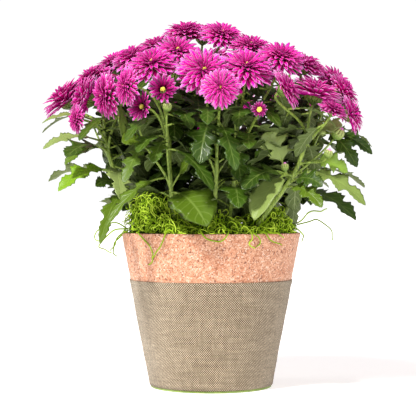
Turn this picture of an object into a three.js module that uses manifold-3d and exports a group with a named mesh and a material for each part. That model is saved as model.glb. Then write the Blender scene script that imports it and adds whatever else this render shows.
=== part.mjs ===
// A potted chrysanthemum in bloom: ten leafy stems stand in the soil of a tapered pot that wears a cork
// sleeve and a burlap band, with green curly moss heaped round their feet. Millimetres, +Z up, the front
// faces -Y, and the origin is the middle of the pot's foot.
import * as THREE from "three";
import { mergeVertices } from "three/addons/utils/BufferGeometryUtils.js";
import Module from "manifold-3d";

const wasm = await Module();
wasm.setup();

// Driving dimensions of the pot
const POT_HEIGHT = 145;
const RIM_RADIUS = 85;
const FOOT_RADIUS = 57.2;
const POT_SIDES = 32;
const CLEARANCE = 0.3;
const CORK_INSET = 0.5;
const CORK_THICK = 1.5;
const BURLAP_THICK = 0.7;
const BURLAP_TOP = 101;
const LINER_WALL = 1.5;
const LINER_FLOOR = 2.4;
const LINER_TOP = 143;
const FOOT_FLANGE = 2;
const SOIL_TOP = 128;
const ROOT_DEPTH = 34;

// Driving dimensions of the stems and stalks, which narrow from one radius to the other. A bend is how
// far a curve's handle lies from its end, as a share of its height or reach.
const STEM_SIDES = 4;
const STEM_POINTS = 6;
const STEM_RADII = [2.4, 1.8];
const STEM_BENDS = [0.45, 0.3];
const STEM_LEAN = 0.08;
const STALK_SIDES = 3;
const STALK_RADII = [1.4, 1.05];
const STALK_BEND = 0.35;
const STALK_STEPS = [0, 0.35, 0.7];
const STALK_FORKS = { from: 1, step: 0.05, places: 4 };
const BUD_FORKS = { from: 0.8, step: 0.08, places: 4 };

// Driving dimensions of the leaves. A range is met at random, or runs from the lowest leaf to the highest.
const LEAF_THICK = 1.4;
const LEAF_FOLD = 0.16;
const LEAF_ARCH = 0.26;
const PETIOLE_SHARE = 0.24;
const PETIOLE_WIDTH = 2.2;
const LEAF_LENGTHS = [56, 69];
const LEAF_WIDTHS = [32, 42];
const LEAF_PLACES = [0.5, 0.97];
const LEAF_RISES = [-22, 0];
const LEAF_RISE_SPREAD = 16;
const LEAF_TURN_SPREAD = 20;
const LEAF_ROLL_SPREAD = 50;
const SMALL_LEAF_LENGTH = 46;
const SMALL_LEAF_WIDTH = 25;
const SMALL_LEAF_RISE = -18;
const SMALL_LEAF_EVERY = 3;
const GOLDEN_ANGLE = 137.5;

// Driving dimensions of the moss: rings of points over the soil, and heaps that rise from it
const MOSS_RINGS = [20, 42, 60, 77];
const MOSS_SECTORS = 12;
const MOSS_DEPTH = 9;
const MOSS_ROUGHNESS = 5;
const MOSS_HEAPS = [
  { at: [-54, -44], height: 41, spread: 27 },
  { at: [-70, -8], height: 18, spread: 20 },
  { at: [8, -58], height: 22, spread: 20 },
  { at: [54, -38], height: 27, spread: 23 },
  { at: [40, 50], height: 16, spread: 24 },
  { at: [-30, 60], height: 14, spread: 22 },
];

// The seeds of the random draws
const FLOWER_SEED = 101;
const LEAF_SEED = 31;
const MOSS_SEED = 7;

const paint = (color, roughness) => new THREE.MeshStandardMaterial({ color, roughness, metalness: 0 });
const LINER_GREEN = paint(0x7f9a3c, 0.45);
const CORK = paint(0xf0b48f, 0.8);
const BURLAP = paint(0xb9a283, 0.95);
const SOIL = paint(0x35261b, 1);
const MOSS = paint(0x86a825, 0.9);
const LEAF_GREEN = paint(0x5c7a2c, 0.6);
const MAGENTA = paint(0xc8268b, 0.6);

// The main stems: where each stands in the soil, where it forks below the flowers, how many leaves it
// carries in a spiral, and the compass direction and spread that they fan round (0 is to the front, 90 to
// the right).
const STEMS = {
  front_left: { root: [-30, -38], top: [-37, -62, 202], leaves: 0 },
  centre: { root: [0, -38], top: [5, -64, 214], leaves: 0 },
  centre_right: { root: [12, -14], top: [22, -48, 214], leaves: 3, fan: 40, spread: 200 },
  right: { root: [24, -56], top: [86, -54, 232], leaves: 0 },
  right_side: { root: [52, -4], top: [98, -8, 240], leaves: 3, fan: 120, spread: 110 },
  left: { root: [-52, -12], top: [-98, -30, 236], leaves: 3, fan: -80, spread: 150 },
  heart: { root: [-10, 8], top: [-14, -2, 278], leaves: 6, fan: 0, spread: 360 },
  back_left: { root: [-30, 36], top: [-72, 40, 256], leaves: 4, fan: -120, spread: 170 },
  back: { root: [8, 46], top: [6, 84, 250], leaves: 3, fan: 180, spread: 170 },
  back_right: { root: [40, 34], top: [72, 56, 250], leaves: 4, fan: 130, spread: 170 },
};

// The open flowers, by the stem that bears them. at is the top of the green calyx, turn is the compass
// direction that the flower faces, rise its tilt above the horizon, width its full spread.
const BLOOMS = [
  { name: "left_edge", stem: "left", at: [-135, -4, 268], turn: -80, rise: 50, width: 46 },
  { name: "left_side", stem: "left", at: [-111, -46, 267], turn: -92, rise: 22, width: 42 },
  { name: "left_low", stem: "left", at: [-119, -62, 248], turn: -60, rise: 2, width: 23 },
  { name: "left_turned", stem: "left", at: [-90, -74, 269], turn: -62, rise: -4, width: 38 },
  { name: "left_rise", stem: "left", at: [-109, -14, 287], turn: -65, rise: 55, width: 38 },
  { name: "ridge_left", stem: "back_left", at: [-90, 14, 302], turn: -50, rise: 62, width: 40 },
  { name: "ridge_mid_left", stem: "heart", at: [-71, -34, 303], turn: -40, rise: 62, width: 38 },
  { name: "ridge_peek", stem: "heart", at: [-50, 2, 317], turn: -30, rise: 66, width: 38 },
  { name: "left_inner", stem: "front_left", at: [-70, -108, 274], turn: -58, rise: 2, width: 31 },
  { name: "front_left", stem: "front_left", at: [-52, -80, 291], turn: -8, rise: 52, width: 43 },
  { name: "front_upper", stem: "front_left", at: [-31, -46, 307], turn: 8, rise: 44, width: 40 },
  { name: "top_left", stem: "heart", at: [-24, -8, 329], turn: -10, rise: 70, width: 40 },
  { name: "top_mid", stem: "heart", at: [-8, 28, 332], turn: 20, rise: 76, width: 40 },
  { name: "top_right", stem: "heart", at: [9, -18, 325], turn: 22, rise: 55, width: 40 },
  { name: "front_centre", stem: "centre", at: [-7, -92, 286], turn: 8, rise: 26, width: 44 },
  { name: "front_low", stem: "centre", at: [8, -119, 271], turn: 0, rise: 6, width: 32 },
  { name: "front_right", stem: "centre_right", at: [31, -82, 288], turn: 6, rise: 46, width: 46 },
  { name: "ridge_right", stem: "centre_right", at: [36, -38, 311], turn: 12, rise: 62, width: 40 },
  { name: "right_upper", stem: "centre_right", at: [62, -60, 300], turn: 18, rise: 54, width: 42 },
  { name: "right_turned", stem: "right", at: [63, -92, 272], turn: 80, rise: 28, width: 34 },
  { name: "right_fan", stem: "right", at: [93, -64, 268], turn: 90, rise: 74, width: 46 },
  { name: "right_half", stem: "right", at: [107, -84, 253], turn: 50, rise: 60, width: 26 },
  { name: "right_back_fan", stem: "right_side", at: [86, -22, 298], turn: 60, rise: 64, width: 38 },
  { name: "right_shoulder", stem: "right_side", at: [114, 4, 285], turn: 62, rise: 44, width: 40 },
  { name: "right_edge_upper", stem: "right_side", at: [119, -30, 274], turn: 78, rise: 30, width: 38 },
  { name: "right_edge", stem: "right_side", at: [124, -56, 252], turn: 86, rise: 16, width: 34 },
  { name: "back_a", stem: "back_left", at: [-121, 42, 277], turn: -118, rise: 44, width: 40 },
  { name: "back_b", stem: "back_left", at: [-82, 58, 296], turn: -134, rise: 58, width: 42 },
  { name: "back_c", stem: "back_left", at: [-84, 98, 272], turn: -142, rise: 34, width: 40 },
  { name: "back_d", stem: "back", at: [-42, 52, 315], turn: -160, rise: 68, width: 40 },
  { name: "back_e", stem: "back", at: [-40, 92, 296], turn: -162, rise: 50, width: 42 },
  { name: "back_f", stem: "back", at: [-22, 128, 268], turn: -174, rise: 26, width: 40 },
  { name: "back_g", stem: "back", at: [4, 76, 311], turn: 176, rise: 62, width: 40 },
  { name: "back_h", stem: "back", at: [26, 118, 280], turn: 166, rise: 36, width: 42 },
  { name: "back_i", stem: "back_right", at: [36, 24, 320], turn: 100, rise: 72, width: 40 },
  { name: "back_j", stem: "back_right", at: [50, 72, 303], turn: 148, rise: 56, width: 40 },
  { name: "back_k", stem: "back_right", at: [72, 110, 272], turn: 146, rise: 30, width: 38 },
  { name: "back_l", stem: "back_right", at: [80, 32, 304], turn: 112, rise: 58, width: 40 },
  { name: "back_m", stem: "back_right", at: [98, 70, 280], turn: 124, rise: 40, width: 40 },
  { name: "back_n", stem: "back_right", at: [124, 40, 268], turn: 104, rise: 32, width: 38 },
];

// The flowers that are only half open.
const CUPS = [
  { name: "cup_left", stem: "front_left", at: [-58, -106, 256], turn: -38, rise: 6, width: 24 },
  { name: "cup_middle", stem: "front_left", at: [-42, -110, 270], turn: 2, rise: 16, width: 24 },
  { name: "cup_right", stem: "centre_right", at: [42, -98, 254], turn: 0, rise: 10, width: 13 },
];

// The closed buds, round ends of stalks of their own.
const BUDS = [
  { stem: "front_left", at: [-64, -86, 243], turn: -10, rise: 80, width: 9 },
  { stem: "front_left", at: [-39, -92, 254], turn: 10, rise: 70, width: 8 },
  { stem: "centre", at: [-8, -76, 232], turn: -20, rise: 78, width: 10 },
  { stem: "centre_right", at: [23, -70, 268], turn: 20, rise: 72, width: 9 },
  { stem: "right", at: [104, -68, 214], turn: 40, rise: 62, width: 8 },
  { stem: "right", at: [66, -72, 202], turn: -10, rise: 80, width: 7 },
  { stem: "right", at: [112, -58, 232], turn: 60, rise: 50, width: 11 },
  { stem: "left", at: [-110, -6, 244], turn: -60, rise: 70, width: 8 },
  { stem: "back", at: [22, 92, 262], turn: 170, rise: 70, width: 9 },
];

// The leaves that show at the front: near is beside the place on a stem or stalk that bears the leaf, tip
// its far end, and roll how far it is turned about its length, in degrees.
const FRONT_LEAVES = [
  { near: [-33, -62, 182], tip: [-4, -100, 154], width: 44, roll: 20 },
  { near: [-29, -90, 215], tip: [1, -118, 186], width: 34, roll: 0 },
  { near: [-68, -72, 252], tip: [-111, -84, 243], width: 26, roll: -60 },
  { near: [-105, -40, 222], tip: [-153, -52, 224], width: 26, roll: -22 },
  { near: [-106, -30, 219], tip: [-132, -62, 210], width: 20, roll: -20 },
  { near: [-95, -45, 196], tip: [-138, -62, 187], width: 26, roll: -30 },
  { near: [-85, -50, 176], tip: [-104, -66, 190], width: 22, roll: -50 },
  { near: [-70, -62, 186], tip: [-92, -96, 155], width: 18, roll: -20 },
  { near: [-76, -60, 176], tip: [-98, -92, 140], width: 17, roll: -20 },
  { near: [-76, -50, 207], tip: [-80, -80, 177], width: 28, roll: -20 },
  { near: [-55, -70, 220], tip: [-78, -104, 228], width: 28, roll: -50 },
  { near: [-54, -80, 226], tip: [-76, -112, 190], width: 20, roll: -10 },
  { near: [-45, -74, 228], tip: [-50, -108, 208], width: 24, roll: 0 },
  { near: [-4, -60, 250], tip: [-30, -88, 210], width: 38, roll: -20 },
  { near: [-28, -60, 186], tip: [-3, -84, 220], width: 22, roll: 60 },
  { near: [45, -80, 189], tip: [38, -102, 160], width: 32, roll: 0 },
  { near: [66, -80, 204], tip: [27, -108, 186], width: 32, roll: -30 },
  { near: [73, -70, 212], tip: [48, -66, 236], width: 34, roll: -65 },
  { near: [116, -20, 230], tip: [150, -24, 221], width: 26, roll: 50 },
  { near: [105, -36, 224], tip: [133, -50, 207], width: 24, roll: 40 },
  { near: [96, -40, 203], tip: [124, -56, 203], width: 24, roll: 60 },
  { near: [84, -56, 196], tip: [139, -66, 173], width: 28, roll: 35 },
  { near: [76, -62, 188], tip: [99, -82, 189], width: 24, roll: 50 },
  { near: [72, -66, 184], tip: [98, -88, 170], width: 24, roll: 30 },
  { near: [-10, -90, 237], tip: [21, -112, 203], width: 28, roll: 0 },
  { near: [20, -66, 196], tip: [27, -56, 220], width: 16, roll: 0 },
  { near: [-119, -30, 242], tip: [-156, -34, 248], width: 18, roll: -20 },
  { near: [-24, -60, 262], tip: [-34, -98, 238], width: 26, roll: 0 },
  { near: [30, -70, 262], tip: [52, -98, 240], width: 26, roll: 20 },
  { near: [96, -62, 224], tip: [118, -66, 244], width: 26, roll: 50 },
];

const vector = (p) => new THREE.Vector3(...p);
const radians = THREE.MathUtils.degToRad;
const lerp = THREE.MathUtils.lerp;
const UP = new THREE.Vector3(0, 0, 1);

// The unit vector for a compass turn and a rise above the horizon, both in degrees.
function heading(turn, rise) {
  const level = Math.cos(radians(rise));
  return new THREE.Vector3(
    Math.sin(radians(turn)) * level,
    -Math.cos(radians(turn)) * level,
    Math.sin(radians(rise)),
  );
}

// A repeatable run of numbers from 0 to 1.
function seeded(seed) {
  let state = seed;
  return () => {
    state = (Math.imul(state, 1664525) + 1013904223) >>> 0;
    return state / 4294967296;
  };
}

function surface(points, faces) {
  const geometry = new THREE.BufferGeometry().setFromPoints(points);
  geometry.setIndex(faces.flat());
  return geometry;
}

function toSolid(geometry) {
  const bare = geometry.clone().deleteAttribute("normal").deleteAttribute("uv");
  const merged = mergeVertices(bare, 1e-4);
  return new wasm.Manifold(
    new wasm.Mesh({
      numProp: 3,
      vertProperties: new Float32Array(merged.attributes.position.array),
      triVerts: new Uint32Array(merged.index.array),
    }),
  );
}

function toGeometry(solid) {
  const { vertProperties, triVerts } = solid.getMesh();
  const geometry = new THREE.BufferGeometry();
  geometry.setAttribute("position", new THREE.BufferAttribute(vertProperties, 3));
  geometry.setIndex(new THREE.BufferAttribute(triVerts, 1));
  return geometry;
}

// A tube along a line of points, with a radius at each, closed at both ends.
function tube(line, radii, sides) {
  const points = [];
  const faces = [];
  const side = new THREE.Vector3(1, 0.2, 0.1);
  line.forEach((p, i) => {
    const before = line[Math.max(i - 1, 0)];
    const after = line[Math.min(i + 1, line.length - 1)];
    const along = after.clone().sub(before).normalize();
    side.addScaledVector(along, -side.dot(along)).normalize();
    const over = along.clone().cross(side);
    for (let k = 0; k < sides; k++) {
      const angle = (2 * Math.PI * k) / sides;
      const corner = p.clone().addScaledVector(side, radii[i] * Math.cos(angle));
      points.push(corner.addScaledVector(over, radii[i] * Math.sin(angle)));
    }
  });
  for (let i = 0; i + 1 < line.length; i++)
    for (let k = 0; k < sides; k++) {
      const a = i * sides + k;
      const b = i * sides + ((k + 1) % sides);
      faces.push([a, b, b + sides], [a, b + sides, a + sides]);
    }
  const last = (line.length - 1) * sides;
  for (let k = 1; k + 1 < sides; k++) faces.push([0, k + 1, k], [last, last + k, last + k + 1]);
  return surface(points, faces);
}

function lathe(profile) {
  const outline = profile.map(([radius, z]) => new THREE.Vector2(radius, z));
  return new THREE.LatheGeometry(outline, POT_SIDES).rotateX(Math.PI / 2);
}

// The pot's outer cone, and the faces of the layers inside it.
const coneRadius = (z) => lerp(FOOT_RADIUS, RIM_RADIUS, z / POT_HEIGHT);
const corkFace = (z) => coneRadius(z) - CORK_INSET;
const corkBack = (z) => corkFace(z) - CORK_THICK;
const linerFace = (z) => corkBack(z) - CLEARANCE;
const linerInside = (z) => linerFace(z) - LINER_WALL;
const soilEdge = (z) => linerInside(z) - CLEARANCE;
const SLEEVE_FOOT = FOOT_FLANGE + CLEARANCE;

function potLiner() {
  return lathe([
    [0, 0],
    [FOOT_RADIUS, 0],
    [FOOT_RADIUS, FOOT_FLANGE],
    [linerFace(FOOT_FLANGE), FOOT_FLANGE],
    [linerFace(LINER_TOP), LINER_TOP],
    [linerInside(LINER_TOP), LINER_TOP],
    [linerInside(LINER_FLOOR), LINER_FLOOR],
    [0, LINER_FLOOR],
  ]);
}

function sleeve(inner, outer, top) {
  return lathe([
    [inner(SLEEVE_FOOT), SLEEVE_FOOT],
    [outer(SLEEVE_FOOT), SLEEVE_FOOT],
    [outer(top), top],
    [inner(top), top],
    [inner(SLEEVE_FOOT), SLEEVE_FOOT],
  ]);
}

const corkSleeve = () => sleeve(corkBack, corkFace, POT_HEIGHT);

function burlapBand() {
  const inner = (z) => corkFace(z) + CLEARANCE;
  return sleeve(inner, (z) => inner(z) + BURLAP_THICK, BURLAP_TOP);
}

function soilPlug() {
  const floor = LINER_FLOOR + CLEARANCE;
  return lathe([
    [0, floor],
    [soilEdge(floor), floor],
    [soilEdge(SOIL_TOP), SOIL_TOP],
    [0, SOIL_TOP],
  ]);
}

// The moss, a rough mat over the soil with heaps in it.
function mossMat() {
  const random = seeded(MOSS_SEED);
  const foot = SOIL_TOP + CLEARANCE;
  const points = [new THREE.Vector3(0, 0, foot), new THREE.Vector3(0, 0, foot + MOSS_DEPTH)];
  const faces = [];
  const edge = MOSS_SECTORS * MOSS_RINGS.length;
  MOSS_RINGS.forEach((radius, ring) => {
    for (let i = 0; i < MOSS_SECTORS; i++) {
      const angle = ((i + (ring % 2) / 2) * 2 * Math.PI) / MOSS_SECTORS;
      const x = radius * Math.cos(angle);
      const y = radius * Math.sin(angle);
      let height = MOSS_DEPTH + MOSS_ROUGHNESS * (random() - 0.3);
      for (const heap of MOSS_HEAPS) {
        const away = Math.hypot(x - heap.at[0], y - heap.at[1]) / heap.spread;
        height += heap.height * Math.exp(-away * away);
      }
      points.push(new THREE.Vector3(x, y, foot + height));
    }
  });
  for (let i = 0; i < MOSS_SECTORS; i++) {
    const rim = points[2 + edge - MOSS_SECTORS + i];
    points.push(new THREE.Vector3(rim.x, rim.y, foot));
  }
  for (let i = 0; i < MOSS_SECTORS; i++) {
    const j = (i + 1) % MOSS_SECTORS;
    faces.push([1, 2 + i, 2 + j], [0, 2 + edge + j, 2 + edge + i]);
    for (let ring = 0; ring + 1 < MOSS_RINGS.length; ring++) {
      const a = 2 + ring * MOSS_SECTORS;
      const b = a + MOSS_SECTORS;
      if (ring % 2 === 0) faces.push([a + i, b + i, a + j], [a + j, b + i, b + j]);
      else faces.push([a + i, b + i, b + j], [a + i, b + j, a + j]);
    }
    const a = 2 + edge - MOSS_SECTORS;
    const b = 2 + edge;
    faces.push([a + i, b + i, b + j], [a + i, b + j, a + j]);
  }
  return surface(points, faces);
}

// The line of each main stem, from its foot in the soil to its fork.
function stemLine({ root, top }) {
  const start = new THREE.Vector3(root[0], root[1], SOIL_TOP - ROOT_DEPTH);
  const end = vector(top);
  const height = end.z - start.z;
  const low = start.clone().addScaledVector(UP, height * STEM_BENDS[0]);
  const high = end.clone().addScaledVector(UP, -height * STEM_BENDS[1]).lerp(start, STEM_LEAN);
  return new THREE.CubicBezierCurve3(start, low, high, end);
}

// The line of a stalk, which leaves its stem upwards and reaches its flower from behind.
function stalkLine(stem, from, { at, turn, rise }) {
  const start = stem.getPoint(from);
  const end = vector(at);
  const reach = start.distanceTo(end) * STALK_BEND;
  const low = start.clone().addScaledVector(stem.getTangent(from), reach);
  const high = end.clone().addScaledVector(heading(turn, rise), -reach);
  return new THREE.CubicBezierCurve3(start, low, high, end);
}

function stemTube(curve, grow = 0) {
  const line = curve.getPoints(STEM_POINTS - 1);
  const radii = line.map((_, i) => lerp(...STEM_RADII, i / (STEM_POINTS - 1)) + grow);
  line[0].z -= grow;
  return tube(line, radii, STEM_SIDES);
}

// A stalk ends in the calyx, the green cup that a flower sits on, or in a closed bud. Each end is a run of
// rings: how far ahead of the stalk's end, and how wide, as shares of the width of the flower or bud.
const CALYX = [[-0.15, 0.06], [-0.07, 0.18], [0, 0.2]];
const BUD = [[-0.1, 0.16], [0.25, 0.6], [0.95, 0.14]];

function stalkTube(curve, end, { at, turn, rise, width }) {
  const line = STALK_STEPS.map((t) => curve.getPoint(t));
  const radii = STALK_STEPS.map((t) => lerp(...STALK_RADII, t));
  for (const [ahead, share] of end) {
    line.push(vector(at).addScaledVector(heading(turn, rise), ahead * width - CLEARANCE));
    radii.push(share * width);
  }
  return tube(line, radii, STALK_SIDES);
}

// A flower is one closed surface round the Z axis. Its core is a stack of rings, each turned half a column
// on from the one below, so that a petal grows from two points of its own ring and one of the next.
// Radii and heights are shares of the flower's width. A petal with shoulders is broad near its end, and
// one without is pointed.
const DOUBLE = {
  rings: [[0.165, 0], [0.16, 0.07], [0.14, 0.14], [0.1, 0.2], [0.05, 0.235]],
  layers: [
    { reach: 0.5, height: 0.05, shoulders: 0.115 },
    { reach: 0.44, height: 0.2, shoulders: 0.1 },
    { reach: 0.34, height: 0.31 },
    { reach: 0.2, height: 0.36 },
  ],
  crown: 0.225,
};
const CUP = {
  rings: [[0.17, 0], [0.19, 0.1], [0.15, 0.17]],
  layers: [
    { reach: 0.5, height: 0.3, shoulders: 0.12 },
    { reach: 0.38, height: 0.42 },
  ],
  crown: 0.2,
};
const PETAL_COLUMNS = 7;
const SHOULDER_PLACE = 0.8;
const PETAL_BOW = 0.012;
const PETAL_JITTER = { turn: 0.16, reach: 0.1, height: 0.04 };

function flower({ rings, layers, crown }, width, random) {
  const points = [];
  const faces = [];
  const pitch = (2 * Math.PI) / PETAL_COLUMNS;
  const point = (angle, radius, height) => {
    const p = new THREE.Vector3(radius * Math.cos(angle), radius * Math.sin(angle), height);
    return points.push(p.multiplyScalar(width)) - 1;
  };
  const jitter = (share) => share * (random() - 0.5);
  const core = rings.map(([radius, height], k) =>
    Array.from({ length: PETAL_COLUMNS }, (_, i) => point((i + k / 2) * pitch, radius, height)),
  );
  const under = point(0, 0, 0);
  const top = point(0, 0, crown);
  layers.forEach(({ reach, height, shoulders }, k) => {
    const [coreRadius, coreHeight] = rings[k];
    for (let i = 0; i < PETAL_COLUMNS; i++) {
      const left = core[k][i];
      const right = core[k][(i + 1) % PETAL_COLUMNS];
      const rib = core[k + 1][i];
      const nextRib = core[k + 1][(i + 1) % PETAL_COLUMNS];
      const angle = (i + k / 2 + 0.5 + jitter(PETAL_JITTER.turn)) * pitch;
      const far = reach * (1 + jitter(PETAL_JITTER.reach));
      const lift = height + jitter(PETAL_JITTER.height);
      const tip = point(angle, far, lift);
      if (shoulders) {
        const radius = lerp(coreRadius, far, SHOULDER_PLACE);
        const level = lerp(coreHeight, lift, SHOULDER_PLACE) + PETAL_BOW;
        const near = point(angle - shoulders / radius, radius, level);
        const wide = point(angle + shoulders / radius, radius, level);
        faces.push([rib, left, near], [rib, near, tip], [rib, tip, wide], [rib, wide, right]);
        faces.push([left, right, wide], [left, wide, tip], [left, tip, near]);
      } else faces.push([rib, left, tip], [rib, tip, right], [left, right, tip]);
      faces.push([right, nextRib, rib]);
    }
  });
  for (let i = 0; i < PETAL_COLUMNS; i++) {
    const next = (i + 1) % PETAL_COLUMNS;
    faces.push([under, core[0][next], core[0][i]], [top, core.at(-1)[i], core.at(-1)[next]]);
  }
  return surface(points, faces);
}

// A leaf's half outline: how far along the blade each point lies, and how wide the blade is there, with
// two side lobes and a broad end lobe. Each rib point is joined to the outline points beside it.
const LEAF_EDGE = [[0.2, 0.72], [0.33, 0.42], [0.56, 1], [0.66, 0.52], [0.86, 0.5]];
const LEAF_RIB = [0, 0.36, 0.68];
const LEAF_FANS = [[0, 0, 1], [0, 1, 2], [1, 2, 3], [1, 3, 4], [2, 4, 5]];

// A leaf: a stiff petiole and a lobed blade, thickest at the rib and sharp at the edge, both sides raised
// in a shallow V. It starts on the stem at root and ends at tip.
function leaf({ root, tip, width, roll }, grow = 0) {
  const points = [];
  const faces = [];
  const chord = tip.clone().sub(root);
  const middle = root.clone().addScaledVector(chord, 0.5).addScaledVector(UP, LEAF_ARCH * chord.length());
  const rib = new THREE.QuadraticBezierCurve3(root, middle, tip);
  const side = chord.clone().cross(UP).normalize().applyAxisAngle(chord.clone().normalize(), radians(roll));
  const point = (along, across, over) => {
    const normal = side.clone().cross(rib.getTangent(along)).normalize();
    const p = rib.getPoint(along).addScaledVector(side, across).addScaledVector(normal, over);
    return points.push(p) - 1;
  };
  const thick = LEAF_THICK / 2 + grow;
  const half = PETIOLE_WIDTH / 2;
  const start = [[0, thick], [half, -thick], [-half, -thick]].map((p) => point(0, ...p));
  const [startTop, startRight, startLeft] = start;
  const base = [[0, thick], [half, 0], [0, -thick], [-half, 0]].map((p) => point(PETIOLE_SHARE, ...p));
  const [top, right, under, left] = base;
  faces.push([startTop, startLeft, startRight]);
  faces.push([startTop, startRight, right], [startTop, right, top]);
  faces.push([startRight, under, right], [startRight, startLeft, under], [startLeft, left, under]);
  faces.push([startLeft, startTop, top], [startLeft, top, left]);

  const onBlade = (share) => lerp(PETIOLE_SHARE, 1, share);
  const end = point(1, 0, 0);
  const ribPoints = (over) => LEAF_RIB.slice(1).map((share) => point(onBlade(share), 0, over));
  const above = [top, ...ribPoints(thick)];
  const below = [under, ...ribPoints(-thick)];
  for (const [hand, corner] of [[1, right], [-1, left]]) {
    const edge = LEAF_EDGE.map(([share, wide]) => {
      const across = (wide * (width + grow)) / 2;
      return point(onBlade(share), hand * across, LEAF_FOLD * across);
    });
    edge.unshift(corner);
    for (const [middles, face] of [[above, 1], [below, -1]]) {
      const triangles = LEAF_FANS.map(([r, a, b]) => [middles[r], edge[a], edge[b]]);
      triangles.push([middles[0], edge[2], middles[1]], [middles[1], edge[4], middles[2]]);
      triangles.push([middles[2], edge[5], end]);
      for (const [a, b, c] of triangles) faces.push(hand * face > 0 ? [a, b, c] : [a, c, b]);
    }
  }
  return surface(points, faces);
}

// The place on a line of points that lies closest to p.
function closestOn(line, p) {
  let best = line[0];
  for (let i = 0; i + 1 < line.length; i++) {
    const q = new THREE.Line3(line[i], line[i + 1]).closestPointToPoint(p, true, new THREE.Vector3());
    if (q.distanceTo(p) < best.distanceTo(p)) best = q;
  }
  return best;
}

const group = new THREE.Group();

function add(name, geometry, material) {
  const mesh = new THREE.Mesh(geometry, material);
  mesh.name = name;
  group.add(mesh);
  return mesh;
}

// Every piece that a leaf has to keep clear of, by name.
const solids = {};

add("pot_liner", potLiner(), LINER_GREEN);
add("cork_sleeve", corkSleeve(), CORK);
add("burlap_band", burlapBand(), BURLAP);
for (const mesh of group.children) solids[mesh.name] = toSolid(mesh.geometry);

function addFlowers(kind, list) {
  list.forEach((bloom, i) => {
    const mesh = add(`bloom_${bloom.name}`, flower(kind, bloom.width, seeded(FLOWER_SEED + i)), MAGENTA);
    mesh.position.set(...bloom.at);
    mesh.quaternion.setFromUnitVectors(UP, heading(bloom.turn, bloom.rise));
    mesh.updateMatrix();
    solids[mesh.name] = toSolid(mesh.geometry.clone().applyMatrix4(mesh.matrix));
  });
}

addFlowers(DOUBLE, BLOOMS);
addFlowers(CUP, CUPS);

// The stems and their stalks, and the lines that leaves can grow from.
let soil = toSolid(soilPlug());
let moss = toSolid(mossMat());
const stemLines = {};
for (const [name, place] of Object.entries(STEMS)) {
  const curve = stemLine(place);
  let solid = toSolid(stemTube(curve));
  stemLines[name] = [curve.getPoints(STEM_POINTS - 1)];
  const branch = (list, end, { from, step, places }) => {
    list.filter(({ stem }) => stem === name).forEach((item, i) => {
      const stalk = stalkLine(curve, from - step * (i % places), item);
      stemLines[name].push(STALK_STEPS.map((t) => stalk.getPoint(t)));
      solid = solid.add(toSolid(stalkTube(stalk, end, item)));
    });
  };
  branch([...BLOOMS, ...CUPS], CALYX, STALK_FORKS);
  branch(BUDS, BUD, BUD_FORKS);
  solids[name] = solid;
  const hole = toSolid(stemTube(curve, CLEARANCE));
  soil = soil.subtract(hole);
  moss = moss.subtract(hole);
}
solids.soil = soil;
solids.moss = moss;

// A leaf that would meet another piece is swung round its root, a little at a time, until it is clear.
const SWINGS = [0, 9, -9, 18, -18, 28, -28, 40, -40, 55, -55];
const LIFTS = [0, 9, -9];

function isClear(blade, stem) {
  const { min, max } = blade.boundingBox();
  return Object.entries(solids).every(([name, other]) => {
    const box = other.boundingBox();
    if ([0, 1, 2].some((k) => box.min[k] > max[k] || box.max[k] < min[k])) return true;
    const shared = blade.intersect(other);
    return name === stem ? shared.decompose().length < 2 : shared.isEmpty();
  });
}

function growLeaf(stem, root, tip, width, roll = 0) {
  for (const lift of LIFTS)
    for (const swing of SWINGS) {
      const turned = tip.clone().sub(root).applyAxisAngle(UP, radians(swing));
      const place = { root, tip: turned.add(root).addScaledVector(UP, lift), width, roll };
      if (isClear(toSolid(leaf(place, CLEARANCE)), stem)) {
        solids[stem] = solids[stem].add(toSolid(leaf(place)));
        return;
      }
    }
}

for (const { near, tip, width, roll } of FRONT_LEAVES) {
  const choices = Object.entries(stemLines).flatMap(([stem, lines]) =>
    lines.map((line) => ({ stem, root: closestOn(line, vector(near)) })),
  );
  const away = ({ root }) => root.distanceTo(vector(near));
  const { stem, root } = choices.reduce((a, b) => (away(b) < away(a) ? b : a));
  growLeaf(stem, root, vector(tip), width, roll);
}

// The other leaves stand in a spiral up each stem, long and drooping below, shorter and rising above.
Object.entries(STEMS).forEach(([name, { leaves, fan, spread }], place) => {
  const random = seeded(LEAF_SEED + place);
  const either = (range) => range * (random() - 0.5);
  for (let i = 0; i < leaves; i++) {
    const height = (i + 0.5) / leaves;
    const root = stemLine(STEMS[name]).getPoint(lerp(...LEAF_PLACES, height));
    const spiral = ((i * GOLDEN_ANGLE) % 360) / 360 - 0.5;
    const turn = fan + spread * spiral + either(LEAF_TURN_SPREAD);
    const rise = lerp(...LEAF_RISES, height) + either(LEAF_RISE_SPREAD);
    const tip = root.clone().addScaledVector(heading(turn, rise), lerp(...LEAF_LENGTHS, random()));
    growLeaf(name, root, tip, lerp(...LEAF_WIDTHS, random()), either(LEAF_ROLL_SPREAD));
  }
});

// Every third stalk bears a small leaf half way up, below its flower.
for (const [name, lines] of Object.entries(stemLines)) {
  const own = [...BLOOMS, ...CUPS].filter(({ stem }) => stem === name);
  own.forEach(({ turn }, i) => {
    if (i % SMALL_LEAF_EVERY) return;
    const [, low, high] = lines[i + 1];
    const root = low.clone().lerp(high, 0.5);
    const tip = root.clone().addScaledVector(heading(turn, SMALL_LEAF_RISE), SMALL_LEAF_LENGTH);
    growLeaf(name, root, tip, SMALL_LEAF_WIDTH);
  });
}

add("soil", toGeometry(soil), SOIL);
add("moss", toGeometry(moss), MOSS);
for (const name of Object.keys(STEMS)) add(`leafy_stem_${name}`, toGeometry(solids[name]), LEAF_GREEN);

export default group;
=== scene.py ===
# A potted chrysanthemum: magenta double flowers on leafy stems, curly green moss, and a tapered pot with a
# cork sleeve and a burlap band. The plant's places are in millimetres in the part's frame, and every mesh
# is made in metres.
from math import cos, hypot, pi, radians, sin, sqrt

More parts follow.
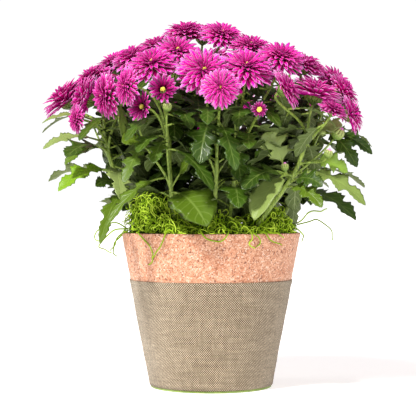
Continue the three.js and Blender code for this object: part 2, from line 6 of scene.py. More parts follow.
import bpy
import numpy as np
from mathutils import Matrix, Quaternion, Vector
from numpy.linalg import norm


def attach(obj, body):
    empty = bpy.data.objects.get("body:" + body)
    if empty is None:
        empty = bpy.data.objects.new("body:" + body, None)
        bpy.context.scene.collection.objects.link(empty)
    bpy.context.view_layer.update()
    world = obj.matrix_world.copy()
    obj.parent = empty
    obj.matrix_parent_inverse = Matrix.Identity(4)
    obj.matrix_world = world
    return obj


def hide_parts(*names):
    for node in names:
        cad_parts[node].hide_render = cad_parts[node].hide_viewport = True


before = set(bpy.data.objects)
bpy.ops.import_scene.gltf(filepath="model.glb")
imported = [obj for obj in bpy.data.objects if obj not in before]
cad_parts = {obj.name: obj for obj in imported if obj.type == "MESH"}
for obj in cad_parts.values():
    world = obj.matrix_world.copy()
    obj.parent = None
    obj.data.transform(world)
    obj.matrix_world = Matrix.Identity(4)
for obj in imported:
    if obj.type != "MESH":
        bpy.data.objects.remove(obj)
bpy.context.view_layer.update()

MM = 0.001

# The pot, as in the solids
POT_HEIGHT = 145
RIM_RADIUS = 85
FOOT_RADIUS = 57.2
CLEARANCE = 0.3
CORK_INSET = 0.5
CORK_THICK = 1.5
BURLAP_THICK = 0.7
BURLAP_TOP = 101
LINER_WALL = 1.5
LINER_FLOOR = 2.4
LINER_TOP = 143
FOOT_FLANGE = 2
SOIL_TOP = 128
ROOT_DEPTH = 34
SLEEVE_FOOT = FOOT_FLANGE + CLEARANCE

# The plant, as in the solids
STEM_POINTS = 6
STEM_RADII = (2.4, 1.8)
STEM_BENDS = (0.45, 0.3)
STEM_LEAN = 0.08
STALK_RADII = (1.4, 1.05)
STALK_BEND = 0.35
STALK_STEPS = (0, 0.35, 0.7)
STALK_FORKS = (1, 0.05, 4)
BUD_FORKS = (0.8, 0.08, 4)
LEAF_ARCH = 0.26
PETIOLE_SHARE = 0.24
LEAF_LENGTHS = (56, 69)
LEAF_WIDTHS = (32, 42)
LEAF_PLACES = (0.5, 0.97)
LEAF_RISES = (-22, 0)
LEAF_RISE_SPREAD = 16
LEAF_TURN_SPREAD = 20
LEAF_ROLL_SPREAD = 50
SMALL_LEAF_LENGTH = 46
SMALL_LEAF_WIDTH = 25
SMALL_LEAF_RISE = -18
SMALL_LEAF_EVERY = 3
GOLDEN_ANGLE = 137.5
LEAF_SEED = 31
SWINGS = (0, 9, -9, 18, -18, 28, -28, 40, -40, 55, -55)
LIFTS = (0, 9, -9)
SAME_PLACE = 0.05

# The moss, as in the solids
MOSS_DEPTH = 9
MOSS_EDGE = 77
MOSS_SIDE = 69
MOSS_REACH = 79.5
MOSS_SPILL = 7
RIM_REST = 145.8
MOSS_HEAPS = (
    ((-54, -44), 41, 27),
    ((-70, -8), 18, 20),
    ((8, -58), 22, 20),
    ((54, -38), 27, 23),
    ((40, 50), 16, 24),
    ((-30, 60), 14, 22),
)

# The main stems: name, where each stands in the soil, where it forks, how many leaves it carries, and the
# compass direction and spread that they fan round (0 is to the front, 90 to the right).
STEMS = {
    "front_left": ((-30, -38), (-37, -62, 202), 0, 0, 0),
    "centre": ((0, -38), (5, -64, 214), 0, 0, 0),
    "centre_right": ((12, -14), (22, -48, 214), 3, 40, 200),
    "right": ((24, -56), (86, -54, 232), 0, 0, 0),
    "right_side": ((52, -4), (98, -8, 240), 3, 120, 110),
    "left": ((-52, -12), (-98, -30, 236), 3, -80, 150),
    "heart": ((-10, 8), (-14, -2, 278), 6, 0, 360),
    "back_left": ((-30, 36), (-72, 40, 256), 4, -120, 170),
    "back": ((8, 46), (6, 84, 250), 3, 180, 170),
    "back_right": ((40, 34), (72, 56, 250), 4, 130, 170),
}

# The open flowers: name, stem, the top of the calyx, the compass direction that the flower faces, its
# tilt above the horizon, and its width.
BLOOMS = (
    ("left_edge", "left", (-135, -4, 268), -80, 50, 46),
    ("left_side", "left", (-111, -46, 267), -92, 22, 42),
    ("left_low", "left", (-119, -62, 248), -60, 2, 23),
    ("left_turned", "left", (-90, -74, 269), -62, -4, 38),
    ("left_rise", "left", (-109, -14, 287), -65, 55, 38),
    ("ridge_left", "back_left", (-90, 14, 302), -50, 62, 40),
    ("ridge_mid_left", "heart", (-71, -34, 303), -40, 62, 38),
    ("ridge_peek", "heart", (-50, 2, 317), -30, 66, 38),
    ("left_inner", "front_left", (-70, -108, 274), -58, 2, 31),
    ("front_left", "front_left", (-52, -80, 291), -8, 52, 43),
    ("front_upper", "front_left", (-31, -46, 307), 8, 44, 40),
    ("top_left", "heart", (-24, -8, 329), -10, 70, 40),
    ("top_mid", "heart", (-8, 28, 332), 20, 76, 40),
    ("top_right", "heart", (9, -18, 325), 22, 55, 40),
    ("front_centre", "centre", (-7, -92, 286), 8, 26, 44),
    ("front_low", "centre", (8, -119, 271), 0, 6, 32),
    ("front_right", "centre_right", (31, -82, 288), 6, 46, 46),
    ("ridge_right", "centre_right", (36, -38, 311), 12, 62, 40),
    ("right_upper", "centre_right", (62, -60, 300), 18, 54, 42),
    ("right_turned", "right", (63, -92, 272), 80, 28, 34),
    ("right_fan", "right", (93, -64, 268), 90, 74, 46),
    ("right_half", "right", (107, -84, 253), 50, 60, 26),
    ("right_back_fan", "right_side", (86, -22, 298), 60, 64, 38),
    ("right_shoulder", "right_side", (114, 4, 285), 62, 44, 40),
    ("right_edge_upper", "right_side", (119, -30, 274), 78, 30, 38),
    ("right_edge", "right_side", (124, -56, 252), 86, 16, 34),
    ("back_a", "back_left", (-121, 42, 277), -118, 44, 40),
    ("back_b", "back_left", (-82, 58, 296), -134, 58, 42),
    ("back_c", "back_left", (-84, 98, 272), -142, 34, 40),
    ("back_d", "back", (-42, 52, 315), -160, 68, 40),
    ("back_e", "back", (-40, 92, 296), -162, 50, 42),
    ("back_f", "back", (-22, 128, 268), -174, 26, 40),
    ("back_g", "back", (4, 76, 311), 176, 62, 40),
    ("back_h", "back", (26, 118, 280), 166, 36, 42),
    ("back_i", "back_right", (36, 24, 320), 100, 72, 40),
    ("back_j", "back_right", (50, 72, 303), 148, 56, 40),
    ("back_k", "back_right", (72, 110, 272), 146, 30, 38),
    ("back_l", "back_right", (80, 32, 304), 112, 58, 40),
    ("back_m", "back_right", (98, 70, 280), 124, 40, 40),
    ("back_n", "back_right", (124, 40, 268), 104, 32, 38),
)

# The half-open flowers.
CUPS = (
    ("cup_left", "front_left", (-58, -106, 256), -38, 6, 24),
    ("cup_middle", "front_left", (-42, -110, 270), 2, 16, 24),
    ("cup_right", "centre_right", (42, -98, 254), 0, 10, 13),
)
FLOWERS = BLOOMS + CUPS

# The closed buds: the share that is petals, then as for the flowers.
BUDS = (
    (0.3, "front_left", (-64, -86, 243), -10, 80, 9),
    (0.15, "front_left", (-39, -92, 254), 10, 70, 8),
    (0.8, "centre", (-8, -76, 232), -20, 78, 10),
    (1, "centre_right", (23, -70, 268), 20, 72, 9),
    (0.2, "right", (104, -68, 214), 40, 62, 8),
    (0.3, "right", (66, -72, 202), -10, 80, 7),
    (0.12, "right", (112, -58, 232), 60, 50, 11),
    (0.4, "left", (-110, -6, 244), -60, 70, 8),
    (0.6, "back", (22, 92, 262), 170, 70, 9),
)

# The front leaves: a place beside the stem or stalk that bears the leaf, the leaf's tip, its width, its
# roll about its length, and its tone from dark to bright green.
FRONT_LEAVES = (
    ((-33, -62, 182), (-4, -100, 154), 44, 20, 0.58),
    ((-29, -90, 215), (1, -118, 186), 34, 0, 0.3),
    ((-68, -72, 252), (-111, -84, 243), 26, -60, 0.72),
    ((-105, -40, 222), (-153, -52, 224), 26, -22, 0.85),
    ((-106, -30, 219), (-132, -62, 210), 20, -20, 0.65),
    ((-95, -45, 196), (-138, -62, 187), 26, -30, 1),
    ((-85, -50, 176), (-104, -66, 190), 22, -50, 0.3),
    ((-70, -62, 186), (-92, -96, 155), 18, -20, 0.55),
    ((-76, -60, 176), (-98, -92, 140), 17, -20, 0.62),
    ((-76, -50, 207), (-80, -80, 177), 28, -20, 0.8),
    ((-55, -70, 220), (-78, -104, 228), 28, -50, 0.7),
    ((-54, -80, 226), (-76, -112, 190), 20, -10, 0.5),
    ((-45, -74, 228), (-50, -108, 208), 24, 0, 0.45),
    ((-4, -60, 250), (-30, -88, 210), 38, -20, 0.25),
    ((-28, -60, 186), (-3, -84, 220), 22, 60, 0.6),
    ((45, -80, 189), (38, -102, 160), 32, 0, 0.74),
    ((66, -80, 204), (27, -108, 186), 32, -30, 0.2),
    ((73, -70, 212), (48, -66, 236), 34, -65, 0.75),
    ((116, -20, 230), (150, -24, 221), 26, 50, 0.35),
    ((105, -36, 224), (133, -50, 207), 24, 40, 0.3),
    ((96, -40, 203), (124, -56, 203), 24, 60, 0.95),
    ((84, -56, 196), (139, -66, 173), 28, 35, 0.8),
    ((76, -62, 188), (99, -82, 189), 24, 50, 0.3),
    ((72, -66, 184), (98, -88, 170), 24, 30, 0.6),
    ((-10, -90, 237), (21, -112, 203), 28, 0, 0.4),
    ((20, -66, 196), (27, -56, 220), 16, 0, 0.7),
    ((-119, -30, 242), (-156, -34, 248), 18, -20, 0.8),
    ((-24, -60, 262), (-34, -98, 238), 26, 0, 0.4),
    ((30, -70, 262), (52, -98, 240), 26, 20, 0.35),
    ((96, -62, 224), (118, -66, 244), 26, 50, 0.8),
)

# The front leaves that are broad and round, by the place that bears them.
ROUND_LEAVES = ((-33, -62, 182), (45, -80, 189))

# Moss tendrils that hang over the rim: points as compass direction round the pot, distance out from the
# cork, and height.
TENDRILS = (
    (
        (-52, -6, 150), (-50, 1, 147), (-46, 2, 140), (-41, 2, 134), (-39, 2, 128), (-41, 2, 121),
        (-43, 3, 117),
    ),
    ((-24, -7, 149), (-27, 1, 147), (-31, 2, 139), (-34, 2, 131), (-38, 2, 126), (-40, 3, 124)),
    ((-8, -8, 150), (-6, 1, 148), (-2, 2, 141), (3, 2, 138), (7, 2, 140), (10, 1, 147), (9, -7, 151)),
    ((22, -7, 152), (24, 1, 147), (25, 2, 140), (24, 2, 135), (27, 3, 133)),
    ((28, -7, 151), (26, 1, 147), (29, 2, 142), (31, 2, 137), (29, 2, 133)),
    ((31, -7, 150), (33, 1, 147), (36, 2, 142), (42, 3, 138), (48, 3, 134)),
    ((36, -7, 150), (39, 1, 147), (43, 2, 145), (50, 3, 142)),
    ((-78, -4, 150), (-82, 6, 154), (-86, 14, 152), (-88, 22, 147), (-90, 26, 140), (-84, 22, 137)),
    ((-72, -4, 150), (-76, 8, 147), (-82, 18, 140), (-92, 24, 131), (-100, 22, 128), (-96, 14, 126)),
    ((-88, -4, 148), (-92, 4, 140), (-94, 10, 133), (-90, 12, 127), (-88, 8, 122)),
    ((-66, -4, 149), (-74, 5, 142), (-80, 9, 134), (-84, 14, 128)),
    ((84, -4, 154), (82, 4, 160), (80, 12, 165), (78, 20, 166), (76, 27, 167)),
    ((86, -4, 152), (84, 7, 156), (82, 15, 157), (80, 23, 154), (79, 29, 147), (78, 33, 138)),
    ((76, -6, 149), (78, 1, 147), (82, 3, 142), (80, 4, 137)),
    ((150, -6, 150), (152, 1, 147), (156, 2, 140), (160, 2, 133)),
    ((178, -7, 149), (180, 1, 147), (184, 2, 141), (190, 2, 137), (194, 2, 131)),
    ((-140, -6, 149), (-142, 1, 147), (-146, 2, 140), (-144, 2, 134)),
    ((120, -6, 149), (121, 1, 147), (124, 4, 143), (130, 6, 139), (134, 4, 134)),
    ((-112, -5, 150), (-114, 4, 147), (-118, 8, 142), (-124, 9, 136), (-122, 6, 131)),
)

# The surfaces of the pot
POT_SEGMENTS = 160
LINER_ROUND = 0.4
FLANGE_ROUND = 0.3
LINER_MIDDLE = 70
CORK_SEGMENTS = 240
CORK_ROUND = (0.35, 0.5)
CORK_GRAIN = 0.09
CORK_SEED = 5
HEM_DEPTH = 7
HEM_DIP = 0.25
BURLAP_WAVE = 0.12
BURLAP_WAVE_LIMIT = 0.2
BURLAP_SEED = 11
WARP_THREADS = 430
WEFT_PITCH = 1.1

# The strands of moss: patches as middle, spread, count and brightness. A spread of 0 is the whole pot.
# The brightness holds painted light and shadow: lighter on the left heap, darker at the right, a painted
# shadow of the plant.
MOSS_PATCHES = (
    ((0, 0), 0, 440, 0.36),
    ((-60, -54), 17, 600, 0.4),
    ((-30, -68), 11, 130, 0.36),
    ((6, -72), 16, 170, 0.3),
    ((48, -60), 13, 190, 0.24),
    ((58, -40), 15, 330, 0.2),
)
MOSS_SEED = 23
MOSS_BAND = 5
CORE_DEPTH = 9
STRAND_POINTS = 17
STRAND_RADII = (0.3, 0.54)
STRAND_CURLS = (0.2, 0.75)
STRAND_STEPS = (1.3, 2.1)
STRAND_DRIFT = 0.35
STRAND_PULL = 0.07
TENDRIL_POINTS = 36
TENDRIL_RADII = (0.75, 0.5)
TENDRIL_WAVE = 0.7

# The leaves that fill the plant on all sides of a stem or stalk: how many, the bare share below them, and
# their lengths and widths. Their tips stay within the limits of reach and height.
STEM_FILL = (84, 0.22, (42, 64), (26, 42))
STALK_FILL = (11, 0.1, (30, 46), (18, 28))
INNER_TURN_SPREAD = 40
INNER_RISES = (-65, 12)
INNER_ROLL_SPREAD = 60
# Inner leaves take only the darker tones, up to this share: painted shade for the shaded inside of the
# plant.
INNER_SHADE_TONE = 0.35
INNER_REACH = 104
INNER_RIM = 77
INNER_FLARE = 0.6
INNER_NEAR = -72
INNER_FRONT = -25
INNER_FLOOR = 143
INNER_FRONT_FLOOR = 192
INNER_TOP = 276


def heading(turn, rise):
    """The unit vector for a compass turn and a rise above the horizon, both in degrees."""
    turn, rise = radians(turn), radians(rise)
    return np.array((sin(turn) * cos(rise), -cos(turn) * cos(rise), sin(rise)))


def seeded(seed):
    """The same repeatable run of numbers from 0 to 1 as in the solids."""
    state = seed
    while True:
        state = (state * 1664525 + 1013904223) & 0xFFFFFFFF
        yield state / 4294967296


def named_random(name):
    return np.random.default_rng(sum(map(ord, name)))


def jitter(rng, amount):
    """A random shift of up to half the amount either way."""
    return amount * (rng.random() - 0.5)


def lerp(a, b, t):
    return a + (b - a) * t


def unit(v):
    return v / norm(v)


def units(rows):
    return rows / norm(rows, axis=-1, keepdims=True)


def bezier(handles, t):
    """A point, or a row of points, on the curve with the given two, three or four handles."""
    t = np.asarray(t, float)[..., None]
    while len(handles) > 1:
        handles = [a + (b - a) * t for a, b in zip(handles, handles[1:])]
    return handles[0]


def smooth_line(points, count):
    """A smooth line through a few points, at even steps of its parameter."""
    p = np.asarray(points, float)
    p = np.vstack([2 * p[0] - p[1], p, 2 * p[-1] - p[-2]])
    spans = len(p) - 3
    out = []
    for s in np.linspace(0, spans, count):
        i = min(int(s), spans - 1)
        t = s - i
        a, b, c, d = p[i : i + 4]
        point = 2 * b + (c - a) * t + (2 * a - 5 * b + 4 * c - d) * t * t
        out.append(0.5 * (point + (3 * b - a - 3 * c + d) * t**3))
    return np.array(out)


def round_rings(profile, sides):
    """Rings round the Z axis through the radii and heights of a profile."""
    angles = np.linspace(0, 2 * pi, sides, endpoint=False)
    return np.array([[(r * cos(a), r * sin(a), z) for a in angles] for r, z in profile])


def tube_rings(line, radii, sides, ridge=0.0):
    """Rings round a line of points that turn as little as they can."""
    tangents = units(np.gradient(line, axis=0))
    side = np.array((1.0, 0.2, 0.1))
    angles = np.linspace(0, 2 * pi, sides, endpoint=False)
    rings = []
    for p, r, t in zip(line, radii, tangents):
        side = unit(side - t * side.dot(t))
        over = np.cross(t, side)
        swell = r * (1 + ridge * np.cos(angles * 5))
        rings.append(p + np.outer(swell * np.cos(angles), side) + np.outer(swell * np.sin(angles), over))
    return np.array(rings)


def turned(points, face, spin=0.0):
    """Points round the Z axis, turned so that Z points along face."""
    turn = Vector((0, 0, 1)).rotation_difference(Vector(face)) @ Quaternion((0, 0, 1), spin)
    return points @ np.array(turn.to_matrix()).T


def placed(rings, width, face, at, spin=0.0):
    """Rings in shares of a flower's width, spun round its axis and set where it sits."""
    return turned(turned(rings * width, (0, 0, 1), spin), face) + at


def scale_rings(radii, halves, heights, inward, outward):
    """Four-sided rings for a bract or bud scale beside the Z axis."""
    return np.array([
        [(r, -h, z), (r - inward, 0, z), (r, h, z), (r + outward, 0, z)]
        for r, h, z in zip(radii, halves, heights)
    ])


class Mesh:
    """Collects closed lofts, each a stack of rings of points, into one object. Each point carries a place:
    how far along its petal or leaf it lies, how far across, and the tone of that petal or leaf."""

    def __init__(self):
        self.points = []
        self.places = []
        self.faces = []
        self.looks = []
        self.count = 0

    def loft(self, rings, look=0, along=None, across=None, tone=0.5, closed=False):
        """Adds a stack of rings that has caps, or is closed from its last ring to its first."""
        n, k = rings.shape[:2]
        place = np.empty((n, k, 3))
        place[..., 0] = np.linspace(0, 1, n)[:, None] if along is None else np.asarray(along)[:, None]
        place[..., 1] = 0 if across is None else np.asarray(across)[None, :]
        place[..., 2] = tone
        index = self.count + np.arange(n * k).reshape(n, k)
        self.points.append(rings.reshape(-1, 3))
        self.places.append(place.reshape(-1, 3))
        self.count += n * k
        if closed:
            index = np.vstack([index, index[:1]])
        a = index[:-1]
        b = np.roll(a, -1, axis=1)
        d = index[1:]
        c = np.roll(d, -1, axis=1)
        self.faces.extend(np.stack([a, b, c, d], axis=-1).reshape(-1, 4).tolist())
        looks = np.broadcast_to(look, a.shape)
        self.looks.extend(looks.reshape(-1).tolist())
        if not closed:
            self.faces.extend([index[0, ::-1].tolist(), index[-1].tolist()])
            self.looks.extend([int(looks[0, 0]), int(looks[-1, 0])])

    def build(self, name, looks, node):
        mesh = bpy.data.meshes.new(name)
        points = np.vstack(self.points) * MM
        mesh.from_pydata(points.tolist(), [], self.faces)
        attribute = mesh.attributes.new("place", "FLOAT_VECTOR", "POINT")
        attribute.data.foreach_set("vector", np.vstack(self.places).astype(np.float32).ravel())
        for look in looks:
            mesh.materials.append(look.material)
        mesh.polygons.foreach_set("material_index", self.looks)
        mesh.polygons.foreach_set("use_smooth", [True] * len(mesh.polygons))
        mesh.update()
        piece = bpy.data.objects.new(name, mesh)
        bpy.context.collection.objects.link(piece)
        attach(piece, "root")
        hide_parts(node)


# Procedural materials


class Look:
    """A node material in a few words. Every input is a value or another node's output."""

    def __init__(self, name, roughness, **inputs):
        self.material = bpy.data.materials.new(name)
        self.material.use_nodes = True
        self.tree = self.material.node_tree
        self.tree.nodes.clear()
        inputs = {key.replace("_", " "): value for key, value in inputs.items()}
        self.shader = self.add("BsdfPrincipled", {"Roughness": roughness, **inputs})
        self.add("OutputMaterial", {"Surface": self.shader.outputs[0]})

    def add(self, kind, inputs=None, **settings):
        node = self.tree.nodes.new("ShaderNode" + kind)
        for key, value in settings.items():
            setattr(node, key, value)
        for key, value in (inputs or {}).items():
            self.feed(node.inputs[key], value)
        return node

    def feed(self, socket, value):
        if isinstance(value, bpy.types.NodeSocket):
            self.tree.links.new(value, socket)
        else:
            socket.default_value = value

    def place(self):
        """The along, across and tone values of the petal or leaf."""
        attribute = self.add("Attribute", attribute_name="place")
        return self.add("SeparateXYZ", {0: attribute.outputs["Vector"]}).outputs

    def position(self, scale=(1, 1, 1)):
        where = self.add("TexCoord").outputs["Object"]
        return self.add("Mapping", {"Scale": scale, "Vector": where}).outputs[0]

    def noise(self, vector, scale, detail=3.0, roughness=0.55):
        inputs = {"Vector": vector, "Scale": scale, "Detail": detail, "Roughness": roughness}
        return self.add("TexNoise", inputs).outputs["Fac"]

    def edges(self, vector, scale):
        """How far a point lies from the middle of its cell."""
        return self.add("TexVoronoi", {"Vector": vector, "Scale": scale}).outputs["Distance"]

    def cells(self, vector, scale):
        """A random value for each cell."""
        cell = self.add("TexVoronoi", {"Vector": vector, "Scale": scale})
        return self.add("SeparateColor", {0: cell.outputs["Color"]}).outputs[0]

    def warp(self, vector, scale, amount):
        noise = self.add("TexNoise", {"Vector": vector, "Scale": scale})
        inputs = {0: noise.outputs["Color"], 1: (amount, amount, amount), 2: vector}
        return self.add("VectorMath", inputs, operation="MULTIPLY_ADD").outputs[0]

    def ramp(self, value, *stops):
        """Colours, or greys given as one number, at places from 0 to 1."""
        node = self.add("ValToRGB", {0: value})
        elements = node.color_ramp.elements
        while len(elements) < len(stops):
            elements.new(0.5)
        for element, (position, color) in zip(elements, stops):
            element.position = position
            element.color = (*color, 1) if isinstance(color, tuple) else (color, color, color, 1)
        return node.outputs[0]

    def math(self, operation, *inputs):
        return self.add("Math", dict(enumerate(inputs)), operation=operation).outputs[0]

    def times(self, a, b):
        return self.math("MULTIPLY", a, b)

    def mix(self, share, a, b, blend="MIX"):
        a, b = [(*color, 1) if isinstance(color, tuple) else color for color in (a, b)]
        return self.add("Mix", {0: share, 6: a, 7: b}, data_type="RGBA", blend_type=blend).outputs[2]

    def color(self, value):
        self.feed(self.shader.inputs["Base Color"], value)

    def bump(self, height, distance, strength=1.0):
        node = self.add("Bump", {"Height": height, "Distance": distance, "Strength": strength})
        self.feed(self.shader.inputs["Normal"], node.outputs[0])


def petal_look(name, base, middle, outer, tip, edge, edge_share):
    look = Look(name, 0.75, Specular_IOR_Level=0.03)
    along, across, tone = look.place()
    blade = look.ramp(along, (0, base), (0.35, middle), (0.8, outer), (1, tip))
    # Pale edges towards the tips: the petals' own pale rims, partly a painted highlight.
    rim = look.math("POWER", look.math("ABSOLUTE", across), 2.5)
    outer_rim = look.times(rim, look.math("POWER", along, 2.5))
    edged = look.mix(look.times(outer_rim, edge_share), blade, edge)
    look.color(look.mix(1, edged, look.ramp(tone, (0, 0.36), (0.5, 0.95), (1, 1.15)), "MULTIPLY"))
    look.bump(look.math("SINE", look.times(across, 9)), 0.0002, 0.6)
    return look


def leaf_look(name, roughness, deep, dark, middle, pale, light, vein):
    """A blade that varies from leaf to leaf, with a rib and with veins that slant from it."""
    look = Look(name, roughness, Specular_IOR_Level=0.34)
    along, across, tone = look.place()
    where = look.position()
    blade = look.ramp(tone, (0, deep), (0.4, dark), (0.7, middle), (0.86, pale), (0.98, light))
    patchy = look.mix(look.times(look.noise(where, 90), 0.35), blade, dark)
    width = look.math("ABSOLUTE", across)
    rib = look.ramp(width, (0, 1), (0.09, 0))
    waves = look.math("SUBTRACT", along, look.times(width, 0.22))
    pulse = look.math("PINGPONG", look.times(waves, 7), 0.5)
    side = look.ramp(pulse, (0, 1), (0.12, 0))
    veins = look.math("MAXIMUM", rib, look.times(side, 0.6))
    look.color(look.mix(look.times(veins, 0.4), patchy, vein))
    look.bump(look.math("SUBTRACT", look.times(look.noise(where, 900), 0.3), veins), 0.0004, 0.5)
    return look


def stem_look():
    look = Look("stem_green", 0.5, Specular_IOR_Level=0.4)
    streak = look.noise(look.position((1, 1, 0.12)), 900, 2)
    patch = look.noise(look.position(), 40)
    green = look.ramp(streak, (0.35, (0.1, 0.17, 0.02)), (0.7, (0.41, 0.53, 0.1)))
    look.color(look.mix(look.times(patch, 0.4), green, (0.14, 0.24, 0.02)))
    look.bump(streak, 0.0003, 0.4)
    return look


def calyx_look():
    look = Look("calyx_green", 0.55)
    along = look.place()[0]
    green = look.ramp(along, (0, (0.1, 0.19, 0.02)), (0.7, (0.24, 0.36, 0.06)), (1, (0.5, 0.55, 0.2)))
    shade = look.ramp(look.noise(look.position(), 700), (0.3, 0.7), (0.7, 1))
    look.color(look.mix(1, green, shade, "MULTIPLY"))
    return look


def disc_look():
    look = Look("disc_yellow", 0.6)
    along = look.place()[0]
    yellow = look.ramp(along, (0, (0.35, 0.3, 0.01)), (0.6, (0.85, 0.7, 0.03)), (1, (0.95, 0.9, 0.25)))
    speck = look.noise(look.position(), 1500)
    look.color(look.mix(look.times(speck, 0.4), yellow, (0.5, 0.45, 0.02)))
    return look


def moss_look():
    look = Look("moss_green", 0.75, Specular_IOR_Level=0.15)
    tone = look.place()[2]
    green = look.ramp(
        tone, (0, (0.006, 0.015, 0)), (0.3, (0.05, 0.11, 0.002)), (0.7, (0.3, 0.5, 0.008)),
        (1, (0.62, 0.84, 0.07)),
    )
    patch = look.noise(look.position(), 60)
    look.color(look.mix(look.times(patch, 0.3), green, (0.1, 0.16, 0.01)))
    look.bump(look.noise(look.position(), 2500), 0.0002, 0.5)
    return look


def moss_core_shade_look():
    # Near-black with a faint tangle: painted shade for the dark gaps between the strands.
    look = Look("moss_core", 0.95)
    tangle = look.edges(look.position(), 420)
    look.color(look.ramp(tangle, (0.1, (0.006, 0.01, 0.001)), (0.6, (0.03, 0.05, 0.004))))
    look.bump(tangle, 0.002)
    return look


def soil_look():
    look = Look("damp_soil", 0.95)
    where = look.position()
    fine = look.noise(where, 900)
    look.color(look.ramp(fine, (0.3, (0.012, 0.008, 0.005)), (0.7, (0.06, 0.038, 0.022))))
    look.bump(look.edges(where, 350), 0.003)
    return look


def cork_look():
    """Pressed grains with red and dark flecks and a few large dark crumbs."""
    look = Look("pressed_cork", 0.6, Specular_IOR_Level=0.4)
    where = look.position()
    grain = look.cells(look.warp(where, 500, 0.002), 900)
    body = look.ramp(
        grain, (0.08, (0.44, 0.18, 0.09)), (0.3, (0.6, 0.29, 0.17)), (0.65, (0.66, 0.36, 0.225)),
        (0.85, (0.73, 0.45, 0.31)), (1, (0.84, 0.63, 0.5)),
    )
    wide = look.ramp(look.noise(where, 60, 3), (0.35, (0.92, 0.87, 0.84)), (0.65, 1.03))
    body = look.mix(1, body, wide, "MULTIPLY")
    fleck = look.cells(look.warp(where, 700, 0.002), 1300)
    dark = look.math("LESS_THAN", fleck, 0.075)
    red = look.math("GREATER_THAN", fleck, 0.9)
    body = look.mix(look.times(red, 0.7), body, (0.56, 0.2, 0.1))
    body = look.mix(look.times(dark, 0.85), body, (0.24, 0.08, 0.045))
    crumb = look.math("LESS_THAN", look.cells(look.warp(where, 300, 0.004), 620), 0.035)
    look.color(look.mix(look.times(crumb, 0.8), body, (0.17, 0.055, 0.03)))
    look.bump(look.math("SUBTRACT", grain, dark), 0.0003, 0.5)
    return look


def burlap_look():
    """A plain weave: the warp runs up the band and the weft round it."""
    look = Look("burlap_weave", 0.9, Sheen_Weight=0.2, Specular_IOR_Level=0.15)
    where = look.warp(look.position(), 120, 0.0009)
    x, y, z = look.add("SeparateXYZ", {0: where}).outputs
    warp = look.times(look.math("ARCTAN2", y, x), WARP_THREADS / 2)
    weft = look.times(z, pi / (WEFT_PITCH * MM))
    weave = look.times(look.math("SINE", warp), look.math("SINE", weft))
    # Painted light and shade of the threads: lightest where the warp lies over, darker where the weft does,
    # near-black where they cross.
    color = look.ramp(
        look.math("MULTIPLY_ADD", weave, 0.5, 0.5),
        (0, (0.17, 0.13, 0.08)), (0.3, (0.09, 0.064, 0.035)), (0.5, (0.03, 0.019, 0.01)),
        (0.66, (0.6, 0.485, 0.345)), (1, (0.86, 0.755, 0.59)),
    )
    slub = look.noise(look.position((1, 1, 0.12)), 420, 3)
    bands = look.noise(look.position((0.08, 0.08, 1)), 520, 3)
    blotch = look.noise(look.position(), 28, 4)
    for shade in (
        look.ramp(slub, (0.3, (0.8, 0.78, 0.74)), (0.7, 1.12)),
        look.ramp(bands, (0.3, (0.8, 0.78, 0.75)), (0.7, 1.1)),
        look.ramp(blotch, (0.35, (0.93, 0.92, 0.9)), (0.65, (1.03, 1.03, 1.02))),
    ):
        color = look.mix(1, color, shade, "MULTIPLY")
    look.color(color)
    look.bump(look.math("ABSOLUTE", weave), 0.0004, 0.6)
    return look


def liner_look():
    look = Look("liner_plastic", 0.4)
    scuff = look.noise(look.position(), 220)
    look.color(look.ramp(scuff, (0.3, (0.2, 0.3, 0.06)), (0.7, (0.3, 0.42, 0.1))))
    look.bump(scuff, 0.0002, 0.3)
    return look


PETAL = petal_look(
    "petal_face", base=(0.24, 0, 0.06), middle=(0.66, 0, 0.24), outer=(0.88, 0, 0.43),
    tip=(0.98, 0.24, 0.82), edge=(1, 0.86, 1), edge_share=1,
)
PETAL_BACK = petal_look(
    "petal_back", base=(0.44, 0, 0.15), middle=(0.72, 0.001, 0.34), outer=(0.9, 0.01, 0.52),
    tip=(0.98, 0.38, 0.86), edge=(1, 0.88, 1), edge_share=0.95,
)
LEAF = leaf_look(
    "leaf_face", 0.36, deep=(0.008, 0.02, 0), dark=(0.032, 0.075, 0.003), middle=(0.13, 0.21, 0.012),
    pale=(0.36, 0.44, 0.16), light=(0.2, 0.37, 0.012), vein=(0.26, 0.36, 0.08),
)
LEAF_BACK = leaf_look(
    "leaf_back", 0.6, deep=(0.05, 0.08, 0.012), dark=(0.11, 0.16, 0.035), middle=(0.24, 0.31, 0.1),
    pale=(0.5, 0.56, 0.3), light=(0.4, 0.5, 0.16), vein=(0.48, 0.56, 0.28),
)
STEM = stem_look()
CALYX = calyx_look()
DISC = disc_look()


# Flowers. A row of petals: how many, where they leave the core and where their tips lie (radius and
# height, as shares of the flower's width), the angle that they leave at, and their width.
ROWS = (
    (21, (0.09, 0.0), (0.5, 0.03), 14, 0.112),
    (21, (0.09, 0.03), (0.49, 0.11), 28, 0.108),
    (20, (0.085, 0.06), (0.44, 0.19), 42, 0.1),
    (18, (0.08, 0.09), (0.37, 0.26), 56, 0.09),
    (16, (0.07, 0.12), (0.28, 0.315), 70, 0.076),
    (13, (0.06, 0.14), (0.19, 0.335), 84, 0.064),
    (10, (0.05, 0.15), (0.115, 0.32), 94, 0.054),
    (7, (0.035, 0.16), (0.06, 0.29), 98, 0.044),
)
CUP_ROWS = (
    (16, (0.11, 0.03), (0.5, 0.3), 36, 0.14),
    (15, (0.12, 0.06), (0.42, 0.36), 58, 0.13),
    (14, (0.14, 0.08), (0.3, 0.36), 76, 0.1),
)
CUP_TINT = -0.32
DISC_SIZE = (0.04, 0.2)
CUP_DISCS = ((0.085, 0.17), (0.085, 0.17), (0.22, 0.17))
DISC_FLORETS = 26
FLORET_TURNS = (0, 1.57, 3.14, 4.71)
PETAL_STATIONS = np.array((0.0, 0.2, 0.42, 0.64, 0.83, 0.95, 1.0))
